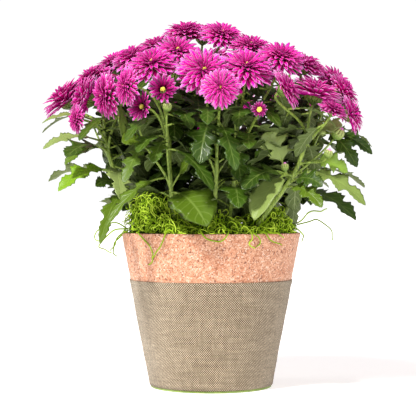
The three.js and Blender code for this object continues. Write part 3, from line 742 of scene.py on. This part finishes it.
PETAL_SHAPE = np.array((0.34, 0.55, 0.85, 1.0, 0.8, 0.42, 0.06))
PETAL_THICK = 0.009 * np.array((1, 1, 1, 0.9, 0.7, 0.5, 0.2))
PETAL_REACH = 1.12
PETAL_BEND = 0.55
PETAL_HOLLOW = 0.16

# How much the petals of a row differ in turn, reach, rise, angle, bend, roll, width and tone
PETAL_SPREADS = (0.42, 0.18, 0.09, 16, 0.03, 0.5, 0.2, 0.5)

# The calyx, as radii and heights, and its rows of bracts, as how many, the lowest point and the highest
CALYX_RINGS = ((0.035, -0.16), (0.07, -0.12), (0.13, -0.075), (0.16, -0.03), (0.15, 0.02), (0.1, 0.05))
BRACT_ROWS = ((13, -0.1, 0.05), (11, -0.14, 0.0))
BRACT_HALVES = (0.022, 0.03, 0.024, 0.004)


def add_petals(mesh, rows, width, at, face, rng, tint):
    turn, far, high, lean, sideways, roll, wide, light = PETAL_SPREADS
    for level, (count, root, tip, leave, broad) in enumerate(rows):
        depth = level / (len(rows) - 1)
        for i in range(count):
            angle = 2 * pi * (i + 0.5 * (level % 2) + jitter(rng, turn)) / count
            reach = PETAL_REACH * tip[0] * (1 + jitter(rng, far))
            rise = tip[1] + jitter(rng, high)
            steep = radians(leave + jitter(rng, lean))
            start = np.array((root[0], 0, root[1]))
            end = np.array((reach, 0, rise))
            length = norm(end - start)
            bend = start + PETAL_BEND * length * np.array((cos(steep), 0, sin(steep)))
            bend[1] += jitter(rng, sideways)
            line = bezier((start, bend, end), PETAL_STATIONS)
            tangent = units(np.gradient(line, axis=0))
            tilt = jitter(rng, roll)
            side = unit(np.array((0.0, cos(tilt), sin(tilt))))
            normal = np.cross(tangent, side)
            half = 0.5 * broad * (1 + jitter(rng, wide)) * PETAL_SHAPE
            hollow = PETAL_HOLLOW * half[:, None] * normal
            thick = PETAL_THICK[:, None] * normal
            spread = half[:, None] * side
            corners = (
                line - spread + hollow, line - hollow - thick,
                line + spread + hollow, line - hollow + thick,
            )
            tone = np.clip(0.62 - 0.32 * depth + jitter(rng, light) + tint, 0, 1)
            shade = lerp(0.25, 0.06, depth) + PETAL_STATIONS * lerp(0.75, 0.62, depth)
            rings = placed(np.stack(corners, axis=1), width, face, at, angle)
            mesh.loft(rings, (1, 1, 0, 0), shade, (-1, 0, 1, 0), tone)


def add_calyx(mesh, width, at, face, rng):
    mesh.loft(placed(round_rings(CALYX_RINGS, 14), width, face, at), 2, tone=0.4)
    radii, heights = np.transpose(CALYX_RINGS)
    for count, low, high in BRACT_ROWS:
        z = np.linspace(low, high, 4)
        scale = scale_rings(np.interp(z, heights, radii) + 0.008, BRACT_HALVES, z, 0.006, 0.012)
        for i in range(count):
            angle = 2 * pi * (i + 0.4 * rng.random()) / count
            mesh.loft(placed(scale, width, face, at, angle), 2, tone=rng.random())


def add_disc(mesh, width, at, face, radius, height):
    for i in range(DISC_FLORETS):
        angle = radians(i * GOLDEN_ANGLE)
        out = radius * sqrt((i + 0.3) / DISC_FLORETS)
        x, y = out * cos(angle), out * sin(angle)
        top = height + 0.05 * (1 - (out / radius) ** 2)
        size = radius * 0.26
        rings = [
            [(x + s * cos(b), y + s * sin(b), z) for b in FLORET_TURNS]
            for z, s in ((top - 0.07, size), (top, size), (top + 0.025, size * 0.3))
        ]
        mesh.loft(placed(np.array(rings), width, face, at), 3, (0, 0.6, 1))


def make_flower(row, rows, disc, tint=0.0):
    name, _, at, turn, rise, width = row
    rng = named_random(name)
    mesh = Mesh()
    face = heading(turn, rise)
    seat = np.array(at, float)
    add_calyx(mesh, width, seat, face, rng)
    add_petals(mesh, rows, width, seat, face, rng, tint)
    add_disc(mesh, width, seat, face, *disc)
    mesh.build(f"flower_{name}", (PETAL, PETAL_BACK, CALYX, DISC), f"bloom_{name}")


# Leaves. The outline of one side of a blade, as how far along and how wide: lobed and toothed, or round.
LEAF_OUTLINE = (
    (0.0, 0.07), (0.05, 0.2), (0.1, 0.52), (0.14, 0.74), (0.17, 0.6), (0.2, 0.66), (0.235, 0.8),
    (0.26, 0.56), (0.3, 0.3), (0.33, 0.28), (0.37, 0.42), (0.41, 0.74), (0.44, 0.68), (0.47, 0.9),
    (0.5, 0.8), (0.54, 1.0), (0.57, 0.8), (0.61, 0.5), (0.65, 0.38), (0.69, 0.44), (0.73, 0.64),
    (0.77, 0.5), (0.81, 0.6), (0.86, 0.42), (0.9, 0.44), (0.94, 0.26), (0.97, 0.2), (1.0, 0.02),
)
ROUND_OUTLINE = (
    (0.0, 0.07), (0.04, 0.26), (0.08, 0.48), (0.13, 0.68), (0.2, 0.85), (0.28, 0.94), (0.37, 0.99),
    (0.46, 1.0), (0.55, 0.98), (0.64, 0.93), (0.73, 0.84), (0.82, 0.68), (0.89, 0.5), (0.95, 0.3),
    (1.0, 0.04),
)
LEAF_ACROSS = (0.35, 0.7, 1.0)
INNER_OUTLINE = LEAF_OUTLINE[::2] + LEAF_OUTLINE[-1:]
INNER_ACROSS = (0.85, 1.0)
LEAF_FOLD = 0.16
LEAF_SKEW = 0.07
LEAF_THICK = 0.55
LEAF_WAVE = 0.05
LEAF_DROOP = 0.06
PETIOLE_RADII = (1.15, 0.8)
PLAIN_TONE = 0.4


def add_leaf(mesh, root, tip, width, roll, rng, tone, outline, shares=LEAF_ACROSS):
    """A blade that is folded along its rib, waves and droops, on its stalk."""
    chord = tip - root
    length = norm(chord)
    middle = root + 0.5 * chord + np.array((0, 0, LEAF_ARCH * length))
    turn = Quaternion(Vector(chord).normalized(), radians(roll))
    side = np.array(turn @ Vector(unit(np.cross(chord, (0, 0, 1)))))
    handles = (root, middle, tip)
    stations, reach = np.transpose(outline)
    phase = rng.random() * 6.28
    wave = LEAF_WAVE + LEAF_WAVE * rng.random()
    droop = LEAF_DROOP * length * rng.random()
    columns = [(-c, 1) for c in reversed(shares)] + [(0, 1)] + [(c, 1) for c in shares]
    columns += [(c, -1) for c in reversed(shares[:-1])] + [(0, -1)] + [(-c, -1) for c in shares[:-1]]
    blade = []
    for c, over in columns:
        half = 0.5 * width * reach * c
        shift = LEAF_SKEW * (abs(c) * reach - 0.5 * abs(c)) * (1 - stations)
        t = np.clip(lerp(PETIOLE_SHARE, 1, stations + shift), 0, 1)
        tangent = units(bezier([b - a for a, b in zip(handles, handles[1:])], t))
        ripple = wave * np.abs(half) * np.sin(stations * 17 + phase + (1.7 if c > 0 else 0))
        edge = 1 - 0.75 * abs(c)
        lift = LEAF_FOLD * np.abs(half) + ripple + over * 0.5 * LEAF_THICK * edge
        p = bezier(handles, t) + half[:, None] * side + lift[:, None] * np.cross(side, tangent)
        p[:, 2] -= droop * stations**3
        blade.append(p)
    across = [c for c, _ in columns]
    looks = [1 if i < 2 * len(shares) else 2 for i in range(len(columns))]
    petiole = bezier(handles, np.linspace(0, PETIOLE_SHARE + 0.02, 6))
    mesh.loft(np.stack(blade, axis=1), looks, stations, across, tone)
    mesh.loft(tube_rings(petiole, np.linspace(*PETIOLE_RADII, 6), 5), tone=tone)


# Stems, with the same lines as the solids
STEM_KNOT = 0.13
STALK_SEAT = 0.1
BUD_STALK_RADII = (1.3, 0.8)
BUD_RINGS = ((0.12, -0.12), (0.34, 0.0), (0.5, 0.2), (0.52, 0.42), (0.44, 0.55))
BUD_SCALE_RADII = np.array((0.44, 0.46, 0.34, 0.08))
BUD_SCALE_HALVES = (0.1, 0.16, 0.12, 0.03)
BUD_OPENS = 0.4


def stem_handles(name):
    foot, top = STEMS[name][:2]
    start = np.array((*foot, SOIL_TOP - ROOT_DEPTH), float)
    end = np.array(top, float)
    rise = end[2] - start[2]
    low = start + (0, 0, rise * STEM_BENDS[0])
    high = end - (0, 0, rise * STEM_BENDS[1])
    return start, low, lerp(high, start, STEM_LEAN), end


def stalk_handles(stem, share, at, turn, rise):
    start = bezier(stem, share)
    end = np.array(at, float)
    reach = norm(end - start) * STALK_BEND
    tangent = unit(bezier([b - a for a, b in zip(stem, stem[1:])], share))
    return start, start + tangent * reach, end - heading(turn, rise) * reach, end


def closest_on(line, p):
    best = line[0]
    for a, b in zip(line, line[1:]):
        share = np.clip(np.dot(p - a, b - a) / np.dot(b - a, b - a), 0, 1)
        q = a + share * (b - a)
        if norm(q - p) < norm(best - p):
            best = q
    return best


def stalks(name, rows, first, step, places):
    """The flowers or buds of a stem, each with the handles of its stalk."""
    stem = stem_handles(name)
    own = [row for row in rows if row[1] == name]
    return [(row, stalk_handles(stem, first - step * (i % places), *row[2:5])) for i, row in enumerate(own)]


def plan_leaves():
    """The leaves of each stem. A leaf that the solids swung clear of its neighbours is found by its tip,
    which is a corner of the stem's solid."""
    corners = {}
    lines = {}
    for name in STEMS:
        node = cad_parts[f"leafy_stem_{name}"]
        corners[name] = np.array([node.matrix_world @ v.co for v in node.data.vertices]) / MM
        lines[name] = [bezier(stem_handles(name), np.linspace(0, 1, STEM_POINTS))]
        for _, stalk in stalks(name, FLOWERS, *STALK_FORKS) + stalks(name, BUDS, *BUD_FORKS):
            lines[name].append(bezier(stalk, STALK_STEPS))
    leaves = {name: [] for name in STEMS}

    def settle(stem, root, tip, width, roll=0.0, tone=PLAIN_TONE, outline=LEAF_OUTLINE):
        x, y, z = np.asarray(tip, float) - root
        for lift in LIFTS:
            for swing in SWINGS:
                c, s = cos(radians(swing)), sin(radians(swing))
                end = root + (c * x - s * y, s * x + c * y, z + lift)
                if norm(corners[stem] - end, axis=1).min() < SAME_PLACE:
                    leaves[stem].append((root, end, width, roll, tone, outline))
                    return

    for near, tip, width, roll, tone in FRONT_LEAVES:
        outline = ROUND_OUTLINE if near in ROUND_LEAVES else LEAF_OUTLINE
        near = np.array(near, float)
        choices = [(stem, closest_on(line, near)) for stem in STEMS for line in lines[stem]]
        stem, root = min(choices, key=lambda choice: norm(choice[1] - near))
        settle(stem, root, tip, width, roll, tone, outline)
    for place, (name, (_, _, count, fan, spread)) in enumerate(STEMS.items()):
        draw = seeded(LEAF_SEED + place)
        for i in range(count):
            height = (i + 0.5) / count
            root = bezier(stem_handles(name), lerp(*LEAF_PLACES, height))
            spiral = ((i * GOLDEN_ANGLE) % 360) / 360 - 0.5
            turn = fan + spread * spiral + LEAF_TURN_SPREAD * (next(draw) - 0.5)
            rise = lerp(*LEAF_RISES, height) + LEAF_RISE_SPREAD * (next(draw) - 0.5)
            tip = root + heading(turn, rise) * lerp(*LEAF_LENGTHS, next(draw))
            width = lerp(*LEAF_WIDTHS, next(draw))
            settle(name, root, tip, width, LEAF_ROLL_SPREAD * (next(draw) - 0.5))
    for name in STEMS:
        for row, stalk in stalks(name, FLOWERS, *STALK_FORKS)[::SMALL_LEAF_EVERY]:
            root = np.mean(bezier(stalk, STALK_STEPS[1:]), axis=0)
            tip = root + heading(row[3], SMALL_LEAF_RISE) * SMALL_LEAF_LENGTH
            settle(name, root, tip, SMALL_LEAF_WIDTH)
    return leaves


def add_bud(mesh, row, rng):
    """A round bud with three rows of scales, green at the foot and pink where the petals show."""
    petal_share, _, at, turn, rise, width = row
    face = heading(turn, rise)
    seat = np.array(at, float)
    mesh.loft(placed(round_rings(BUD_RINGS, 12), width, face, seat), 3)
    for level in range(3):
        count = 9 - 2 * level
        radii = BUD_SCALE_RADII * (1 - 0.22 * level)
        heights = (0.25, 0.55, 0.8, 0.95 + 0.05 * level)
        scale = scale_rings(radii, BUD_SCALE_HALVES, heights, 0.05, 0.07)
        look = 4 if level > 0 or petal_share >= BUD_OPENS else 3
        shade = np.linspace(lerp(0.85, 0.1, petal_share), 1, 4)
        for i in range(count):
            angle = 2 * pi * (i + 0.5 * level) / count
            tone = lerp(0.25, 0.55, petal_share) + 0.25 * rng.random()
            mesh.loft(placed(scale, width, face, seat, angle), look, shade, tone=tone)


def inner_leaves(curve, count, first, lengths, widths, rng):
    """The leaves that fill the plant between its stems, on all sides of a stem or stalk."""
    leaves = []
    for i in range(count):
        root = bezier(curve, lerp(first, 1, (i + rng.random()) / count))
        turn = i * GOLDEN_ANGLE + INNER_TURN_SPREAD * rng.random()
        way = heading(turn, lerp(*INNER_RISES, rng.random()))
        tip = root + way * lerp(*lengths, rng.random())
        width = lerp(*widths, rng.random())
        roll = jitter(rng, INNER_ROLL_SPREAD)
        # Only dark tones: painted shade for the leaves inside the plant.
        tone = INNER_SHADE_TONE * rng.random()
        floor = INNER_FLOOR if tip[1] > INNER_FRONT else INNER_FRONT_FLOOR
        reach = min(INNER_REACH, INNER_RIM + INNER_FLARE * (tip[2] - INNER_FLOOR))
        if hypot(tip[0], tip[1]) < reach and tip[1] > INNER_NEAR and floor < tip[2] < INNER_TOP:
            leaves.append((root, tip, width, roll, tone))
    return leaves


def make_stem(name, leaves):
    rng = named_random(name)
    mesh = Mesh()
    stem = stem_handles(name)
    steps = np.linspace(0, 1, 30)
    fill = inner_leaves(stem, *STEM_FILL, rng)
    knots = 1 + STEM_KNOT * np.exp(-(((steps * 7.3) % 1 - 0.5) ** 2) * 60)
    mesh.loft(tube_rings(bezier(stem, steps), lerp(*STEM_RADII, steps) * knots, 15, 0.05))
    steps = np.linspace(0, 1, 16)
    for row, stalk in stalks(name, FLOWERS, *STALK_FORKS):
        line = bezier(stalk, steps) - heading(*row[3:5]) * STALK_SEAT * row[5] * steps[:, None] ** 3
        mesh.loft(tube_rings(line, lerp(*STALK_RADII, steps), 10, 0.04))
        fill += inner_leaves(stalk, *STALK_FILL, rng)
    for row, stalk in stalks(name, BUDS, *BUD_FORKS):
        line = bezier(stalk, np.linspace(0, 1, 12))
        mesh.loft(tube_rings(line, np.linspace(*BUD_STALK_RADII, 12), 8))
        add_bud(mesh, row, rng)
    for *place, tone, outline in leaves:
        add_leaf(mesh, *place, rng, tone + jitter(rng, 0.1), outline)
    for *place, tone in fill:
        add_leaf(mesh, *place, rng, tone, INNER_OUTLINE, INNER_ACROSS)
    looks = (STEM, LEAF, LEAF_BACK, CALYX, PETAL_BACK)
    mesh.build(f"stem_and_leaves_{name}", looks, f"leafy_stem_{name}")


# The pot
def cork_face(z):
    return lerp(FOOT_RADIUS, RIM_RADIUS, z / POT_HEIGHT) - CORK_INSET


def cork_back(z):
    return cork_face(z) - CORK_THICK


def liner_face(z):
    return cork_back(z) - CLEARANCE


def push_out(rings, shift):
    """Moves the points of rings away from the Z axis."""
    rings[..., :2] += units(rings[..., :2]) * shift[..., None]


def make_shell(rings, name, look, node, closed=True):
    mesh = Mesh()
    mesh.loft(rings, closed=closed)
    mesh.build(name, (look,), node)


def make_liner():
    rim, waist, foot = liner_face(LINER_TOP), liner_face(LINER_MIDDLE), liner_face(LINER_FLOOR)
    profile = (
        (0.5, 0), (FOOT_RADIUS - LINER_ROUND, 0), (FOOT_RADIUS, LINER_ROUND),
        (FOOT_RADIUS, FOOT_FLANGE - FLANGE_ROUND), (FOOT_RADIUS - FLANGE_ROUND, FOOT_FLANGE),
        (liner_face(FOOT_FLANGE), FOOT_FLANGE), (waist, LINER_MIDDLE),
        (rim, LINER_TOP - LINER_ROUND), (rim - LINER_ROUND, LINER_TOP),
        (rim - LINER_WALL + LINER_ROUND, LINER_TOP), (rim - LINER_WALL, LINER_TOP - LINER_ROUND),
        (waist - LINER_WALL, LINER_MIDDLE), (foot - LINER_WALL, LINER_FLOOR), (0.5, LINER_FLOOR),
    )
    make_shell(round_rings(profile, POT_SEGMENTS), "green_liner", liner_look(), "pot_liner", False)


def make_cork():
    """The sleeve, with the grain of cork where it is bare."""
    chamfer, drop = CORK_ROUND
    heights = [SLEEVE_FOOT, *np.linspace(BURLAP_TOP - 6, POT_HEIGHT - drop, 26)]
    profile = [(cork_face(z), z) for z in heights]
    profile += [(cork_face(POT_HEIGHT) - chamfer, POT_HEIGHT), (cork_back(POT_HEIGHT) + chamfer, POT_HEIGHT)]
    profile += [(cork_back(POT_HEIGHT), POT_HEIGHT - drop), (cork_back(SLEEVE_FOOT), SLEEVE_FOOT)]
    rings = round_rings(profile, CORK_SEGMENTS)
    grain = np.random.default_rng(CORK_SEED).normal(0, CORK_GRAIN, rings.shape[:2])
    grain = (grain + np.roll(grain, 1, 1) + np.roll(grain, -1, 1)) / 2
    grain[[0, -1, -2, -3, -4]] *= 0.2
    push_out(rings, grain)
    make_shell(rings, "cork_wrap", cork_look(), "cork_sleeve")


def make_burlap():
    """The band, a little uneven, with its upper hem stitched down."""
    hem = BURLAP_TOP - HEM_DEPTH
    heights = np.concatenate([np.linspace(SLEEVE_FOOT, hem - 1, 28), np.linspace(hem, BURLAP_TOP, 9)])
    seam = np.exp(-(((heights - hem) / 0.6) ** 2))
    profile = [(cork_face(z) + CLEARANCE + BURLAP_THICK - HEM_DIP * dip, z) for z, dip in zip(heights, seam)]
    profile += [(cork_face(z) + CLEARANCE, z) for z in (BURLAP_TOP, SLEEVE_FOOT)]
    rings = round_rings(profile, POT_SEGMENTS)
    waves = np.random.default_rng(BURLAP_SEED).normal(0, BURLAP_WAVE, rings.shape[:2])
    for _ in range(3):
        waves = (waves + np.roll(waves, 1, 1) + np.roll(waves, -1, 1)) / 3**0.5
        waves[1:-1] = (waves[:-2] + waves[1:-1] + waves[2:]) / 3
    waves[-2:] = 0
    push_out(rings, np.clip(waves, -BURLAP_WAVE_LIMIT, BURLAP_WAVE_LIMIT))
    make_shell(rings, "burlap_wrap", burlap_look(), "burlap_band")


# The moss
def moss_height(x, y):
    height = MOSS_DEPTH
    for at, high, spread in MOSS_HEAPS:
        height = height + high * np.exp(-((x - at[0]) ** 2 + (y - at[1]) ** 2) / spread**2)
    return SOIL_TOP + height


def moss_strands(rng, at, spread, count):
    """Curly threads that wander through the top of the moss, with how high each lies. Above the rim they
    may spill outwards."""
    if spread:
        flat = np.array(at) + rng.normal(0, spread, (count, 2))
        flat *= np.minimum(1, MOSS_EDGE / norm(flat, axis=1))[:, None]
    else:
        radius = MOSS_EDGE * np.sqrt(rng.random(count))
        angle = 2 * pi * rng.random(count)
        flat = np.stack([radius * np.cos(angle), radius * np.sin(angle)], axis=1)
    top = moss_height(flat[:, 0], flat[:, 1])
    side = norm(flat, axis=1) > MOSS_SIDE
    low = np.where(side, np.minimum(RIM_REST, top), top - 4)
    place = np.column_stack([flat, rng.uniform(low, top + 3)])
    way = rng.normal(0, 1, (count, 3))
    way[:, 2] *= 0.4
    axis = rng.normal(0, 1, (count, 3))
    curl = rng.uniform(*STRAND_CURLS, (count, 1))
    step = rng.uniform(*STRAND_STEPS, (count, 1))
    points = []
    lifts = []
    for _ in range(STRAND_POINTS):
        lift = place[:, 2] - moss_height(place[:, 0], place[:, 1])
        out = norm(place[:, :2], axis=1)
        points.append(place.copy())
        lifts.append(np.maximum(lift, out - MOSS_EDGE))
        axis = units(axis + rng.normal(0, STRAND_DRIFT, axis.shape))
        way += curl * np.cross(axis, way)
        way[:, 2] -= STRAND_PULL * np.clip(lift - 1, np.where(out > MOSS_SIDE, 0, -6), 6)
        above = place[:, 2] >= RIM_REST
        reach = np.where(above, MOSS_REACH + MOSS_SPILL, MOSS_REACH)
        inward = np.clip(out - reach + MOSS_BAND, 0, MOSS_BAND) / MOSS_BAND * 0.7 / out
        way[:, :2] -= place[:, :2] * inward[:, None]
        way = units(way)
        place = place + step * way
        out = norm(place[:, :2], axis=1)
        place[:, :2] *= np.minimum(1, reach / out)[:, None]
        floor = np.where(above & (out > MOSS_REACH), RIM_REST, SOIL_TOP + 1)
        place[:, 2] = np.maximum(place[:, 2], floor)
    return np.stack(points, axis=1), np.mean(lifts, axis=0)


def moss_core(rng):
    """The dark heaped middle, as rings from its foot at the edge up and in to the top."""
    angles = np.linspace(0, 2 * pi, 72, endpoint=False)
    radii = np.concatenate([[0.5], np.linspace(5, MOSS_EDGE, 18)])
    r, a = np.meshgrid(radii, angles, indexing="ij")
    x, y = r * np.cos(a), r * np.sin(a)
    z = moss_height(x, y) - CORE_DEPTH + rng.normal(0, 1.2, x.shape)
    core = np.stack([x, y, z], axis=-1)
    foot = core[-1].copy()
    foot[:, 2] = SOIL_TOP + CLEARANCE
    return np.concatenate([core, foot[None]])[::-1]


def tendril_line(points, rng):
    place = []
    for turn, out, height in points:
        reach = cork_face(height if height < POT_HEIGHT + 8 else POT_HEIGHT) + out
        place.append((reach * sin(radians(turn)), -reach * cos(radians(turn)), height))
    beat = np.linspace(0, len(points) * 2.2, TENDRIL_POINTS)[:, None]
    return smooth_line(place, TENDRIL_POINTS) + TENDRIL_WAVE * np.sin(beat + 6.28 * rng.random(3))


def make_moss():
    rng = np.random.default_rng(MOSS_SEED)
    mesh = Mesh()
    # The core carries the near-black painted shade under the strands.
    mesh.loft(moss_core(rng), 1)
    for *patch, tone_and_shade in MOSS_PATCHES:
        for line, lift in zip(*moss_strands(rng, *patch)):
            swell = np.sin(np.linspace(0.35, 2.8, STRAND_POINTS)) ** 0.4
            radii = lerp(*STRAND_RADII, rng.random()) * swell
            # Lower strands are darker, painted shade deep in the moss, on top of the patch's painted light
            # and shadow.
            tone = tone_and_shade + 0.12 * lift + jitter(rng, 0.8)
            mesh.loft(tube_rings(line, radii, 3), tone=np.clip(tone, 0, 1))
    for points in TENDRILS:
        line = tendril_line(points, rng)
        tone = 0.55 + 0.35 * rng.random()
        mesh.loft(tube_rings(line, np.linspace(*TENDRIL_RADII, TENDRIL_POINTS), 5), tone=tone)
    mesh.build("curly_moss", (moss_look(), moss_core_shade_look()), "moss")


def dress_soil():
    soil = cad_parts["soil"]
    material = soil_look().material
    if not soil.material_slots:
        soil.data.materials.append(material)
    for slot in soil.material_slots:
        slot.material = material


# The stage: a pale floor, a bright surround, soft lights and the camera
CAMERA_PLACE = (-2.84, -1309, 168.3)
CAMERA_LENS = 119.6
SENSOR_WIDTH = 36
FLOOR_REACH = 40.0
FLOOR_GLOW = 0.7
AMBIENT = 0.2
SURROUND_SHOWN = 1.05

# The lights, each with the way it comes from, its width in degrees, its strength and its colour
LIGHTS = (
    ("key", (-0.55, -0.72, 1.1), 9, 4.6, (1, 0.98, 0.95)),
    ("fill", (0.8, -0.8, 0.45), 50, 1.15, (0.98, 0.98, 1)),
    ("rim", (-1, 0.05, 0.3), 30, 1.1, (1, 1, 1)),
)


def make_stage():
    floor_mesh = bpy.data.meshes.new("floor")
    corners = [(x * FLOOR_REACH, y * FLOOR_REACH, 0) for x, y in ((-1, -1), (1, -1), (1, 1), (-1, 1))]
    floor_mesh.from_pydata(corners, [], [(0, 1, 2, 3)])
    floor = bpy.data.objects.new("floor", floor_mesh)
    bpy.context.collection.objects.link(floor)
    look = Look("floor_white", 0.9, Emission_Color=(1, 0.955, 0.95, 1), Emission_Strength=FLOOR_GLOW)
    look.color(look.ramp(look.noise(look.position(), 2), (0, (0.66, 0.64, 0.64)), (1, (0.7, 0.68, 0.68))))
    floor_mesh.materials.append(look.material)


def make_surround():
    """A white surround that lights the plant less than it shows."""
    world = bpy.data.worlds.new("surround")
    world.use_nodes = True
    tree = world.node_tree
    background = tree.nodes["Background"]
    background.inputs["Color"].default_value = (1, 1, 1, 1)
    ray = tree.nodes.new("ShaderNodeLightPath")
    strength = tree.nodes.new("ShaderNodeMapRange")
    strength.inputs["To Min"].default_value = AMBIENT
    strength.inputs["To Max"].default_value = SURROUND_SHOWN
    tree.links.new(ray.outputs["Is Camera Ray"], strength.inputs["Value"])
    tree.links.new(strength.outputs["Result"], background.inputs["Strength"])
    bpy.context.scene.world = world


def add_sun(name, place, angle, strength, color):
    light = bpy.data.lights.new(name, "SUN")
    light.angle = radians(angle)
    light.energy = strength
    light.color = color
    lamp = bpy.data.objects.new(name, light)
    lamp.rotation_euler = (-Vector(place)).to_track_quat("-Z", "Y").to_euler()
    bpy.context.collection.objects.link(lamp)


def make_camera():
    camera = bpy.data.cameras.new("camera")
    camera.lens = CAMERA_LENS
    camera.sensor_width = SENSOR_WIDTH
    camera.clip_start = 0.05
    eye = bpy.data.objects.new("camera", camera)
    eye.location = [v * MM for v in CAMERA_PLACE]
    eye.rotation_euler = (radians(90), 0, 0)
    bpy.context.collection.objects.link(eye)
    bpy.context.scene.camera = eye


make_camera()
make_stage()
make_surround()
for light in LIGHTS:
    add_sun(*light)
bpy.context.scene.view_settings.view_transform = "Standard"

for row in BLOOMS:
    make_flower(row, ROWS, DISC_SIZE)
for row, disc in zip(CUPS, CUP_DISCS):
    make_flower(row, CUP_ROWS, disc, CUP_TINT)
plan = plan_leaves()
for name in STEMS:
    make_stem(name, plan[name])
make_liner()
make_cork()
make_burlap()
make_moss()
dress_soil()
